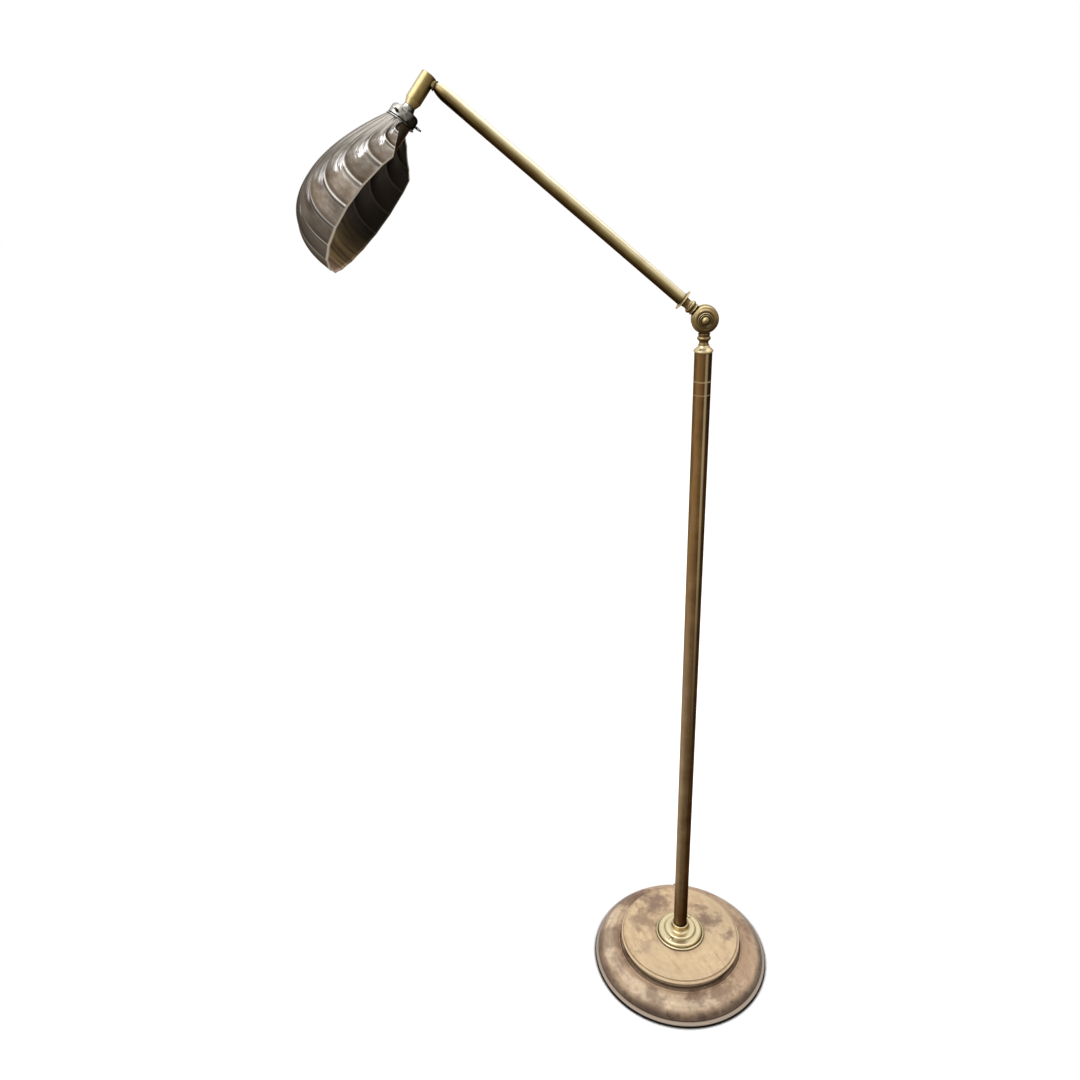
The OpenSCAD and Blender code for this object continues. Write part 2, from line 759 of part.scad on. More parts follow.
module shade_neck() {
    in_r = neck_tube_r - neck_wall;
    top = neck_plane - skirt_at - fitter_wall - 0.5;
    color(pewter) at_shade() turned([
        [in_r, 0], [neck_r, 0], [neck_r, 0.8], [neck_tube_r, 1.4], [neck_tube_r, top - lip_t],
        [lip_r, top - lip_t], [lip_r, top], [in_r, top]]);
}

function bezier(a, b, c, d, s) =
    pow(1 - s, 3) * a + 3 * s * pow(1 - s, 2) * b + 3 * s * s * (1 - s) * c + s * s * s * d;

// Direction out of the neck's axis for a place along the flutes, counted from the back
function outward(x) = let (turn = neck_open * x / half_flutes) [-cos(turn), sin(turn), 0];

// Half of the mouth's edge, from the tip (x = 0) past the shoulder to the neck
function half_rim(x) =
    let (tip = [mouth_out - 2.6, 0, -shade_len],
         low = [mouth_out - 9.5, 0.36 * shade_w, -shade_len - 2],
         high = [mouth_out - 6.9, 0.71 * shade_w, -0.37 * shade_len - 1.15 * shoulder_z],
         shoulder = [mouth_out, shoulder_w / 2, -shoulder_z],
         start = (neck_r + 2) * outward(half_flutes) + [0, 0, -5])
    x <= shoulder_flute
        ? bezier(tip, low, high, shoulder, x / shoulder_flute)
        : shoulder + (start - shoulder) * (x - shoulder_flute) / (half_flutes - shoulder_flute);

function rim(x) = let (p = half_rim(abs(x))) [p.x, x < 0 ? -p.y : p.y, p.z];

// A smooth shell: each rib leaves the neck, keeps to the back and hooks round to the mouth
function bowl(x, s) =
    let (from = (neck_r - 0.7) * outward(x), to = rim(x), span = norm(to - from))
    bezier(from,
        from + span * rib_start * (cos(neck_flare) * [0, 0, -1] + sin(neck_flare) * outward(x)),
        to + span * rib_end * [-1, 0, 0],
        to, s);

function unit(v) = v / norm(v);

function bowl_normal(x, s) =
    s < 0.01 ? outward(x)
    : unit(cross(bowl(min(x + 0.05, half_flutes), s) - bowl(max(x - 0.05, -half_flutes), s),
        bowl(x, min(s + 0.02, 1)) - bowl(x, s - 0.02)));

// Ribs stand sharp between hollow flutes, and grow from the neck to the widest part
function rib(x) = let (off = abs(x - floor(x) - 0.5)) pow(1 - 2 * off, 2);
function rib_height(s) = rib_h * min(1, 0.12 + 1.5 * s) * (1 - 0.5 * pow(s, 6));

function shell_point(x, s, depth) =
    bowl(x, s) + bowl_normal(x, s) * ((s < 0.01 ? 0 : (rib(x) - 0.7) * rib_height(s)) - depth);

module shade_shell() {
    columns = 2 * half_flutes * steps_per_flute;
    row = rib_rows + 1;
    side = (columns + 1) * row;
    points = [
        for (depth = [0, shade_wall])
            for (i = [0:columns])
                for (j = [0:rib_rows])
                    shell_point(i / steps_per_flute - half_flutes, j / rib_rows,
                        depth - (depth == 0 && j == rib_rows ? 0.5 : 0))];
    quads = concat(
        [for (i = [0:columns - 1]) for (j = [0:rib_rows - 1])
            let (a = i * row + j) [a, a + row, a + row + 1, a + 1]],
        [for (i = [0:columns - 1]) for (j = [0:rib_rows - 1])
            let (a = side + i * row + j) [a, a + 1, a + row + 1, a + row]],
        [for (i = [0:columns - 1]) for (j = [0, rib_rows])
            let (a = i * row + j, b = a + side)
            j == 0 ? [a, b, b + row, a + row] : [a, a + row, b + row, b]],
        [for (j = [0:rib_rows - 1]) for (i = [0, columns])
            let (a = i * row + j, b = a + side)
            i == 0 ? [a, a + 1, b + 1, b] : [a, b, b + 1, a + 1]]);
    color(pewter) at_shade() translate([0, 0, -0.05])
        polyhedron(points, [for (q = quads) for (t = [[q[0], q[1], q[2]], [q[0], q[2], q[3]]]) t],
            convexity = 8);
}

base_felt();
base_lower();
base_upper();
base_weight();
rod_washer();
rod_nut();
threaded_rod();
cord_bush();
foot_flange();
flange_screws();
foot_plug();
column_tube();
swivel_post();
swivel_washer();
swivel_nut();
swivel_bush();
column_sleeve();
column_cap();
knuckle_lower();
knuckle_washer();
knuckle_bolt();
knuckle_rosette();
knuckle_nut();
knuckle_upper();
arm_collar();
arm_tube();
arm_tip();
tip_washer();
pivot_screw();
husk();
husk_cap();
husk_nut();
nipple();
shade_holder();
thumb_screws();
holder_cap();
holder_shell();
holder_liner();
screw_shell();
holder_core();
centre_contact();
shade_neck();
shade_shell();
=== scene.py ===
"""Looks of a bridge floor lamp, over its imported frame: turned wood, antique brass, a fluted pewter shade."""

import json
import logging
import math
from dataclasses import dataclass
from enum import Enum

import bpy
from mathutils import Matrix, Vector


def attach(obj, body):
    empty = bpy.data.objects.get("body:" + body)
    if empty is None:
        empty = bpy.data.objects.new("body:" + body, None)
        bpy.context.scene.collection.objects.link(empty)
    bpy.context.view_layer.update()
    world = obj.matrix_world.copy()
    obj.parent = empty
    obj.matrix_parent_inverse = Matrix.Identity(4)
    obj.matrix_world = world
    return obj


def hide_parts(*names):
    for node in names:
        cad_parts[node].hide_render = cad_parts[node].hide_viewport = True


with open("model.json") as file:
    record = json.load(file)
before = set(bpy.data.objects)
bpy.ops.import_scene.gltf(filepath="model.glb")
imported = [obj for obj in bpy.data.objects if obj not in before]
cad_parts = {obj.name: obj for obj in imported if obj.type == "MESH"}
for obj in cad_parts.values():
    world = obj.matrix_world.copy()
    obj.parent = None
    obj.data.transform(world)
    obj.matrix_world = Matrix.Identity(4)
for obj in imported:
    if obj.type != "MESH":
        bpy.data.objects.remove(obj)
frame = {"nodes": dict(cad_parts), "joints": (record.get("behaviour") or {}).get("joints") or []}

LOG = logging.getLogger("bridge_lamp")
MM = 0.001

Pair = tuple[float, float]
Triple = tuple[float, float, float]
Colour = tuple[float, float, float]
Stops = tuple[tuple[float, Colour], ...]
Socket = bpy.types.NodeSocket


# ---- shader tools


class Wire:
    """A socket that gives one number, with arithmetic that adds Math nodes."""

    LINE_CORE = 0.3

    def __init__(self, graph: "Graph", socket: Socket) -> None:
        """Keeps the socket and the graph it belongs to."""
        self.graph = graph
        self.socket = socket

    def _math(self, operation: str, *values: "Wire | float") -> "Wire":
        """Adds a Math node.

        Args:
            operation: The Math node's operation.
            values: Its inputs, in order.

        Returns:
            The node's result.
        """
        node = self.graph.node("ShaderNodeMath", {"operation": operation}, dict(enumerate(values)))
        return Wire(self.graph, node.outputs[0])

    def __add__(self, other: "Wire | float") -> "Wire":
        """Sum."""
        return self._math("ADD", self, other)

    __radd__ = __add__

    def __sub__(self, other: "Wire | float") -> "Wire":
        """Difference."""
        return self._math("SUBTRACT", self, other)

    def __rsub__(self, other: float) -> "Wire":
        """Difference from a number."""
        return self._math("SUBTRACT", other, self)

    def __mul__(self, other: "Wire | float") -> "Wire":
        """Product."""
        return self._math("MULTIPLY", self, other)

    __rmul__ = __mul__

    def __truediv__(self, other: "Wire | float") -> "Wire":
        """Quotient."""
        return self._math("DIVIDE", self, other)

    def __pow__(self, other: float) -> "Wire":
        """Power."""
        return self._math("POWER", self, other)

    def __abs__(self) -> "Wire":
        """Size without its sign."""
        return self._math("ABSOLUTE", self)

    def greater(self, other: "Wire | float") -> "Wire":
        """The greater of the two."""
        return self._math("MAXIMUM", self, other)

    def fraction(self) -> "Wire":
        """What stands after the decimal point."""
        return self._math("FRACT", self)

    def between(self, low: float, high: float) -> "Wire":
        """Runs smoothly from 0 at low to 1 at high.

        Args:
            low: The value that gives 0.
            high: The value that gives 1, which may be the lower of the two.

        Returns:
            The smooth step.
        """
        node = self.graph.node(
            "ShaderNodeMapRange",
            {"interpolation_type": "SMOOTHSTEP"},
            {"Value": self, "From Min": low, "From Max": high, "To Min": 0.0, "To Max": 1.0},
        )
        return Wire(self.graph, node.outputs["Result"])

    def line(self, at: float, half_width: float) -> "Wire":
        """1 in a soft line round a value, and 0 away from it."""
        return abs(self - at).between(half_width, half_width * self.LINE_CORE)


class Graph:
    """A node tree in the making, of a material or of the world."""

    def __init__(self, tree: bpy.types.NodeTree) -> None:
        """Keeps the tree."""
        self.tree = tree

    def feed(self, socket: Socket, value: "Wire | Socket | float | tuple[float, ...]") -> None:
        """Links or sets one input socket.

        Args:
            socket: The input.
            value: Another node's output to link, or the value to set.
        """
        if isinstance(value, Wire):
            self.tree.links.new(value.socket, socket)
        elif isinstance(value, Socket):
            self.tree.links.new(value, socket)
        elif socket.type == "RGBA":
            socket.default_value = (*value, 1.0)
        else:
            socket.default_value = value

    def node(self, kind: str, settings: dict, inputs: dict) -> bpy.types.Node:
        """Adds any node.

        Args:
            kind: The node's type name.
            settings: Its own settings, set first; "stops" fills a colour ramp.
            inputs: Socket names or numbers, with the value or link of each.

        Returns:
            The node.
        """
        node = self.tree.nodes.new(kind)
        for key, value in settings.items():
            if key == "stops":
                self._fill_ramp(node.color_ramp, value)
            else:
                setattr(node, key, value)
        for key, value in inputs.items():
            self.feed(node.inputs[key], value)
        return node

    @staticmethod
    def _fill_ramp(ramp: bpy.types.ColorRamp, stops: Stops) -> None:
        """Sets a colour ramp's stops.

        Args:
            ramp: The ramp.
            stops: Each stop with its place, from 0 to 1, and its colour.
        """
        while len(ramp.elements) < len(stops):
            ramp.elements.new(1.0)
        for element, (position, colour) in zip(ramp.elements, stops):
            element.position = position
            element.color = (*colour, 1.0)

    def seen_white(self) -> Wire:
        """Tells rays from the camera, mirrors and glass from soft light.

        Returns:
            1 for those rays, 0 for others.
        """
        path = self.node("ShaderNodeLightPath", {}, {})
        names = ("Is Camera Ray", "Is Glossy Ray", "Is Transmission Ray")
        camera, glossy, through = (Wire(self, path.outputs[name]) for name in names)
        return camera.greater(glossy).greater(through)


class Paint(Graph):
    """A material in the making: its tree, its main shader and the few nodes that finishes share."""

    MIX_FACTOR, MIX_FIRST, MIX_SECOND, MIX_RESULT = 0, 6, 7, 2
    CORNER_SAMPLES = 8
    CORNER_START = 0.05

    def __init__(self, name: str, **constants: "float | Colour") -> None:
        """Starts a material.

        Args:
            name: The material's name.
            constants: What is the same all over, by the shader's socket names with _ for spaces.
        """
        self.material = bpy.data.materials.new(name)
        self.material.use_nodes = True
        super().__init__(self.material.node_tree)
        self.shader = self.tree.nodes["Principled BSDF"]
        for key, value in constants.items():
            self.give(key.replace("_", " "), value)
        self.place = self.node("ShaderNodeTexCoord", {}, {})

    def give(self, socket: str, value: "Wire | Socket | float | Colour") -> None:
        """Feeds one of the main shader's sockets."""
        self.feed(self.shader.inputs[socket], value)

    def axes(self, source: str = "Object") -> "tuple[Wire, Wire, Wire]":
        """The three parts of a texture coordinate.

        Args:
            source: The coordinate's name, Object or Normal.

        Returns:
            Its x, y and z.
        """
        split = self.node("ShaderNodeSeparateXYZ", {}, {0: self.place.outputs[source]})
        return tuple(Wire(self, split.outputs[i]) for i in range(3))

    def radius(self) -> Wire:
        """Distance from the object's z axis, in metres."""
        x, y, _ = self.axes()
        return (x * x + y * y) ** 0.5

    def joined(self, x: Wire, y: Wire, z: "Wire | float") -> Socket:
        """A vector made of three numbers."""
        return self.node("ShaderNodeCombineXYZ", {}, {0: x, 1: y, 2: z}).outputs[0]

    def mapped(self, stretch: Triple, turn: Triple = (0.0, 0.0, 0.0)) -> Socket:
        """Object coordinates in turned axes, with a pattern drawn out along them.

        Args:
            stretch: How many times longer the pattern is along each turned axis.
            turn: The axes' turn, in radians.

        Returns:
            The coordinates.
        """
        node = self.node(
            "ShaderNodeMapping",
            {"vector_type": "TEXTURE"},
            {"Vector": self.place.outputs["Object"], "Rotation": turn, "Scale": stretch},
        )
        return node.outputs[0]

    def facing(self, way: Triple) -> Wire:
        """How far the surface faces a direction, from -1 to 1 for a unit direction."""
        x, y, z = self.axes("Normal")
        return x * way[0] + y * way[1] + z * way[2]

    def noise(
        self, scale: float, detail: float = 3.0, vector: "Socket | None" = None, rough: float = 0.55
    ) -> Wire:
        """Cloudy noise between about 0.2 and 0.8.

        Args:
            scale: Clouds in a metre, or in a unit of the vector given.
            detail: Octaves of finer noise.
            vector: Where it is read, or the object's own coordinates.
            rough: Weight of the finer octaves.

        Returns:
            The noise.
        """
        where = vector or self.place.outputs["Object"]
        inputs = {"Vector": where, "Scale": scale, "Detail": detail, "Roughness": rough}
        return Wire(self, self.node("ShaderNodeTexNoise", {}, inputs).outputs["Fac"])

    def attribute(self, name: str) -> Wire:
        """A number kept on the mesh's points."""
        node = self.node("ShaderNodeAttribute", {"attribute_name": name}, {})
        return Wire(self, node.outputs["Fac"])

    def ramp(self, value: Wire, stops: Stops) -> Socket:
        """A colour for each value, from a row of stops."""
        return self.node("ShaderNodeValToRGB", {"stops": stops}, {0: value}).outputs[0]

    def blend(self, factor: Wire, first: "Socket | Colour", second: "Socket | Colour") -> Socket:
        """A colour between two colours.

        Args:
            factor: 0 gives the first colour, 1 the second.
            first: The first colour.
            second: The second colour.

        Returns:
            The blended colour.
        """
        inputs = {self.MIX_FACTOR: factor, self.MIX_FIRST: first, self.MIX_SECOND: second}
        return self.node("ShaderNodeMix", {"data_type": "RGBA"}, inputs).outputs[self.MIX_RESULT]

    def corners(self, reach: float, full: float = 0.6) -> Wire:
        """1 deep in a corner and 0 on open surface; finishes use it to paint shade into corners.

        Args:
            reach: How far away a surface still counts, in metres.
            full: The share of the sky that has to be hidden for 1.

        Returns:
            The corner mask.
        """
        node = self.node("ShaderNodeAmbientOcclusion", {"samples": self.CORNER_SAMPLES}, {"Distance": reach})
        return (1.0 - Wire(self, node.outputs["AO"])).between(self.CORNER_START, full)

    def finished(
        self, colour: Socket, rough: Wire, height: Wire, relief: float, strength: float
    ) -> bpy.types.Material:
        """Feeds what varies over the surface to the main shader.

        Args:
            colour: The colour.
            rough: The roughness.
            height: How far the surface is raised, from 0 to 1.
            relief: How far 1 is, in metres.
            strength: How strongly that tilts the light.

        Returns:
            The finished material.
        """
        bump = self.node("ShaderNodeBump", {}, {"Height": height, "Distance": relief, "Strength": strength})
        self.give("Base Color", colour)
        self.give("Roughness", rough)
        self.give("Normal", bump.outputs[0])
        return self.material


# ---- finishes


class Drawn(Enum):
    """How a metal was drawn or polished: how long its streaks are on each axis, and their turn about y."""

    ROUND = ((1.0, 1.0, 4.0), 0.0)
    COLUMN = ((1.0, 1.0, 90.0), 0.0)
    ARM = ((60.0, 1.0, 1.0), math.radians(40.5))


@dataclass(frozen=True)
class UpperTube:
    """A tube's warmer upper part, with a narrow painted highlight.

    It fades in between heights, in metres. The painted highlight lies where the surface faces way, between its
    two edge values.
    """

    heights: Pair
    stops: Stops
    way: Triple
    # colour of the painted highlight
    painted_highlight: Colour
    painted_highlight_edge: Pair = (0.975, 0.998)


@dataclass(frozen=True)
class RingLine:
    """A fine pale line round a tube: its height and half width, in metres, and its strength."""

    height: float
    half_width: float
    strength: float


@dataclass(frozen=True)
class PatinaBrass:
    """Brass with a brown patina and painted light: pale on the side that faces way, dark on the other, and
    painted shade in its corners.

    Its tone is painted light and shade, and runs through stops as the surface turns to face way. Scales are in
    clouds a metre, reaches and relief in metres.
    """

    name: str
    stops: Stops
    way: Triple
    drawn: Drawn = Drawn.ROUND
    roughness: float = 0.3
    mottle: float = 0.2
    # how strongly the painted light and shade vary with the way the surface faces
    painted_light_lean: float = 0.42
    streak_scale: float = 300.0
    cloud_scale: float = 42.0
    relief: float = 0.08 * MM
    # colour of the painted shade in corners
    corner: Colour = (0.02, 0.012, 0.004)
    corner_shade_reach: float = 6 * MM
    corner_shade_full: float = 0.5
    corner_shade_depth: float = 0.9
    rings: "tuple[RingLine, ...]" = ()
    ring_colour: Colour = (0.38, 0.28, 0.15)
    upper: "UpperTube | None" = None

    def _warmer(self, paint: Paint, tone: Wire, streaks: Wire, colour: Socket) -> Socket:
        """Lays the warmer upper part and its painted highlight over the colour.

        Args:
            paint: The material in the making.
            tone: The metal's painted light and shade, from dark to pale.
            streaks: Noise in streaks.
            colour: The colour so far.

        Returns:
            The colour with both.
        """
        height = paint.axes()[2].between(*self.upper.heights)
        colour = paint.blend(height, colour, paint.ramp(tone, self.upper.stops))
        # Painted highlight: a pale streak where the upper tube faces way.
        lit = paint.facing(self.upper.way).between(*self.upper.painted_highlight_edge) * height * (streaks * 0.8 + 0.2)
        return paint.blend(lit, colour, self.upper.painted_highlight)

    def _ringed(self, paint: Paint, colour: Socket) -> Socket:
        """Lays the fine lines over the colour.

        Args:
            paint: The material in the making.
            colour: The colour so far.

        Returns:
            The colour with the lines.
        """
        height = paint.axes()[2]
        for ring in self.rings:
            line = height.line(ring.height, ring.half_width) * ring.strength
            colour = paint.blend(line, colour, self.ring_colour)
        return colour

    def make(self) -> bpy.types.Material:
        """Builds the material.

        Returns:
            The material.
        """
        paint = Paint(self.name, Metallic=0.95, Specular_Tint=(0.55, 0.46, 0.34))
        stretch, turn = self.drawn.value
        streaks = paint.noise(self.streak_scale, 4.0, paint.mapped(stretch, (0.0, turn, 0.0)))
        clouds = paint.noise(self.cloud_scale)
        mottling = (streaks - 0.5) * self.mottle + (clouds - 0.5) * self.mottle
        # Painted light and shade: paler where the surface faces way, darker where it faces away.
        tone = paint.facing(self.way) * self.painted_light_lean + 0.5 + mottling
        colour = paint.ramp(tone, self.stops)
        if self.upper:
            colour = self._warmer(paint, tone, streaks, colour)
        colour = self._ringed(paint, colour)
        # Painted shade in corners, from ambient occlusion.
        corners = paint.corners(self.corner_shade_reach, self.corner_shade_full) * self.corner_shade_depth
        colour = paint.blend(corners, colour, self.corner)
        return paint.finished(colour, self.roughness + (streaks - 0.5) * 0.12, streaks, self.relief, 0.4)


@dataclass(frozen=True)
class Stain:
    """A stain on a disc: its middle and its half width, in metres, and how strong it is."""

    x: float
    y: float
    reach: float
    strength: float = 1.0


@dataclass(frozen=True)
class ShoulderShade:
    """A ring of painted shade: where it starts, is full, begins to fade and ends, in metres from a disc's
    middle.
    """

    start: float
    full: float
    fading: float
    end: float


@dataclass(frozen=True)
class WeatheredWood:
    """Pale turned wood, limed and worn, with mauve-brown stains, and painted shade in its grooves and corners.

    shoulder is the ring of painted shade on the disc's edge. band is the painted light colour of the thin band
    at the floor, and band_height is its top. crest is the radius of the painted highlight on the front of the
    crown. Scales are in clouds a metre, and heights, widths, reaches and relief in metres.
    """

    name: str
    pale: Colour
    tan: Colour
    stain: Colour
    # colour of the painted shade in grooves, corners and shoulder, and of the painted contact shadow
    dirt_and_shade: Colour
    stains: "tuple[Stain, ...]"
    worn: float
    shoulder: "ShoulderShade | None" = None
    ragged: float = 8 * MM
    band_height: float = 0.0
    # the band's colour is painted light on the band's lit face
    band: Colour = (0.42, 0.335, 0.26)
    band_line: float = 1.6 * MM
    # heights of the painted contact shadow at the foot
    contact_shadow_line: Pair = (6.4 * MM, 4.4 * MM)
    crest: float = 0.0
    crest_half: float = 19 * MM
    # colour of the painted highlight on the crest
    crest_highlight: Colour = (0.96, 0.76, 0.53)
    grain_turn: float = math.radians(-60)
    grain_scale: float = 120.0
    pore_scale: float = 800.0
    patch_scale: float = 60.0
    blotch_scale: float = 16.0
    ring_scale: float = 95.0
    ring_breaks: float = 11.0
    corner_shade_reach: float = 16 * MM
    relief: float = 0.5 * MM

    def _turning_marks(self, paint: Paint) -> Wire:
        """Streaks that run round the disc, as a lathe and years of wiping leave them.

        Args:
            paint: The material in the making.

        Returns:
            The noise.
        """
        x, y, _ = paint.axes()
        rings = paint.radius() * self.ring_scale
        return paint.noise(1.0, 5.0, paint.joined(rings, x * self.ring_breaks, y * self.ring_breaks), 0.62)

    def _soil(self, paint: Paint, blotch: Wire, patch: Wire) -> Wire:
        """Masks where the wood is stained: the named stains with ragged edges, and faint ones between.

        Args:
            paint: The material in the making.
            blotch: Noise of several centimetres.
            patch: Noise of a centimetre or two.

        Returns:
            The mask.
        """
        x, y, _ = paint.axes()
        soil = (blotch + patch * 0.6 - 0.7).between(0.0, 0.4) * self.worn
        for stain in self.stains:
            away = ((x - stain.x) ** 2.0 + (y - stain.y) ** 2.0) ** 0.5
            ragged = away / stain.reach + (blotch - 0.5) * 2.0 + (patch - 0.5) * 3.0
            soil = soil.greater(ragged.between(1.6, 0.2) * stain.strength)
        return soil

    def _dirt_and_shade(self, paint: Paint, patch: Wire) -> Wire:
        """Masks the painted shade: in groove and corners and on the shoulder, a dark line above the floor
        band, and a painted contact shadow below it.

        Args:
            paint: The material in the making.
            patch: Noise of a centimetre or two.

        Returns:
            The mask.
        """
        x, y, z = paint.axes()
        # Painted shade is stronger towards the front.
        front = (y * -4.0 + x * 1.5 + 0.5).between(0.0, 0.9)
        dirt_and_shade = paint.corners(self.corner_shade_reach) * (front * 0.35 + 0.6)
        if self.shoulder:
            radius = paint.radius()
            # Painted shade on the shoulder.
            rise = (radius + (patch - 0.5) * self.ragged).between(self.shoulder.start, self.shoulder.full)
            ring = rise * radius.between(self.shoulder.end, self.shoulder.fading)
            dirt_and_shade = dirt_and_shade.greater(ring * (0.5 + front * 0.45) * (patch * 0.8 + 0.5))
        if self.band_height:
            # A painted shade line in the groove above the band, and a painted contact shadow at the foot.
            groove_shade_line = z.line(self.band_height, self.band_line)
            dirt_and_shade = dirt_and_shade.greater(groove_shade_line).greater(z.between(*self.contact_shadow_line))
        return dirt_and_shade

    def _painted_crest_highlight(self, paint: Paint, marks: Wire, body: Socket) -> Socket:
        """Lays painted highlight streaks over the colour, on the front left of the disc's crown.

        Args:
            paint: The material in the making.
            marks: Streaks round the disc.
            body: The colour so far.

        Returns:
            The colour with them.
        """
        x, y, _ = paint.axes()
        front_left = (y * -5.0 - x * 5.0).between(-0.4, 0.5)
        # Painted highlight on the front left of the crown.
        lit = paint.radius().line(self.crest, self.crest_half) * front_left * (marks * 3.0 - 0.85)
        return paint.blend(lit.between(0.0, 1.0), body, self.crest_highlight)

    def _banded(self, paint: Paint, colour: Socket) -> Socket:
        """The colour with the thin band at the floor, in painted light."""
        inside = paint.axes()[2].between(self.band_height - 0.4 * MM, self.band_height - 2 * MM)
        return paint.blend(inside, colour, self.band)

    def make(self) -> bpy.types.Material:
        """Builds the material.

        Returns:
            The material.
        """
        paint = Paint(self.name, Metallic=0.0, Specular_IOR_Level=0.28)
        turn = (0.0, 0.0, self.grain_turn)
        grain = paint.noise(self.grain_scale, 6.0, paint.mapped((5.0, 1.0, 1.0), turn), 0.65)
        pores = paint.noise(self.pore_scale, 2.0, paint.mapped((8.0, 1.0, 1.0), turn))
        patch = paint.noise(self.patch_scale, 5.0, rough=0.65)
        blotch = paint.noise(self.blotch_scale, 4.0, paint.mapped((1.6, 1.0, 1.0), turn))
        marks = self._turning_marks(paint)
        figure = grain * 0.35 + patch * 0.5 + blotch * 0.4 + marks * 0.25 - 0.24
        body = paint.ramp(figure, ((0.36, self.tan), (0.6, self.pale)))
        if self.crest:
            body = self._painted_crest_highlight(paint, marks, body)
        soil = self._soil(paint, blotch, patch)
        specks = (pores * 0.5 + patch * 0.5).between(0.54, 0.66) * 0.5
        colour = paint.blend((soil * (0.5 + grain * 0.6)).greater(specks), body, self.stain)
        # Painted shade in grooves, corners and shoulder, and a painted contact shadow at the foot.
        dirt_and_shade = self._dirt_and_shade(paint, patch)
        colour = paint.blend(dirt_and_shade, colour, self.dirt_and_shade)
        if self.band_height:
            colour = self._banded(paint, colour)
        height = grain * 0.4 + pores * 0.4 + patch * 0.4 - dirt_and_shade * 0.2
        return paint.finished(colour, 0.42 + pores * 0.2 + soil * 0.08, height, self.relief, 0.6)


@dataclass(frozen=True)
class Nickel:
    """Worn nickel plating with painted light, bright where it faces way and dark away from it, and painted
    shade in its corners. Reach and relief are in metres.
    """

    name: str
    # bright, mid and dark are the stops of the painted light and shade
    bright: Colour
    mid: Colour
    dark: Colour
    way: Triple = (-0.45, -0.35, 0.7)
    cloud_scale: float = 170.0
    corner_shade_reach: float = 4 * MM
    relief: float = 0.1 * MM

    def make(self) -> bpy.types.Material:
        """Builds the material.

        Returns:
            The material.
        """
        paint = Paint(self.name, Metallic=1.0, Specular_Tint=(0.4, 0.4, 0.38))
        clouds = paint.noise(self.cloud_scale)
        # Painted light and shade: the colour runs from dark to bright as the surface turns to face way.
        tone = paint.facing(self.way) * 0.6 + 0.33 + (clouds - 0.5) * 0.8
        colour = paint.ramp(tone, ((0.2, self.dark), (0.5, self.mid), (0.85, self.bright)))
        # Painted shade in corners.
        colour = paint.blend(paint.corners(self.corner_shade_reach), colour, self.dark)
        return paint.finished(colour, 0.22 + clouds * 0.2, clouds, self.relief, 0.4)


class ShadePaint(Paint):
    """A material that follows the shade's flutes, by the marks on its mesh.

    run is 0 at the neck and 1 at the rim. across is 0 at the tip. flute is 0 and 1 on the ribs.
    """

    SLICE = 0.3

    def __init__(self, name: str, stretch: Pair, scales: Pair, **constants: "float | Colour") -> None:
        """Starts the material and its noises.

        Args:
            name: The material's name.
            stretch: How fast the streaks change across the flutes, and along them.
            scales: How fine the streaks are, and clouds in a metre.
            constants: What is the same all over, by the shader's socket names with _ for spaces.
        """
        super().__init__(name, **constants)
        self.run = self.attribute("run")
        self.across = abs(self.attribute("across"))
        self.flute = (self.across + 0.5).fraction()
        where = self.joined(self.across * stretch[0], self.run * stretch[1], self.SLICE)
        self.streaks = self.noise(scales[0], 4.0, where)
        self.clouds = self.noise(scales[1], 4.0)

    def ridge(self, half_width: float) -> Wire:
        """1 on a rib's crest, and 0 from half_width of a flute away."""
        return self.flute.between(half_width, 0.0).greater(self.flute.between(1.0 - half_width, 1.0))


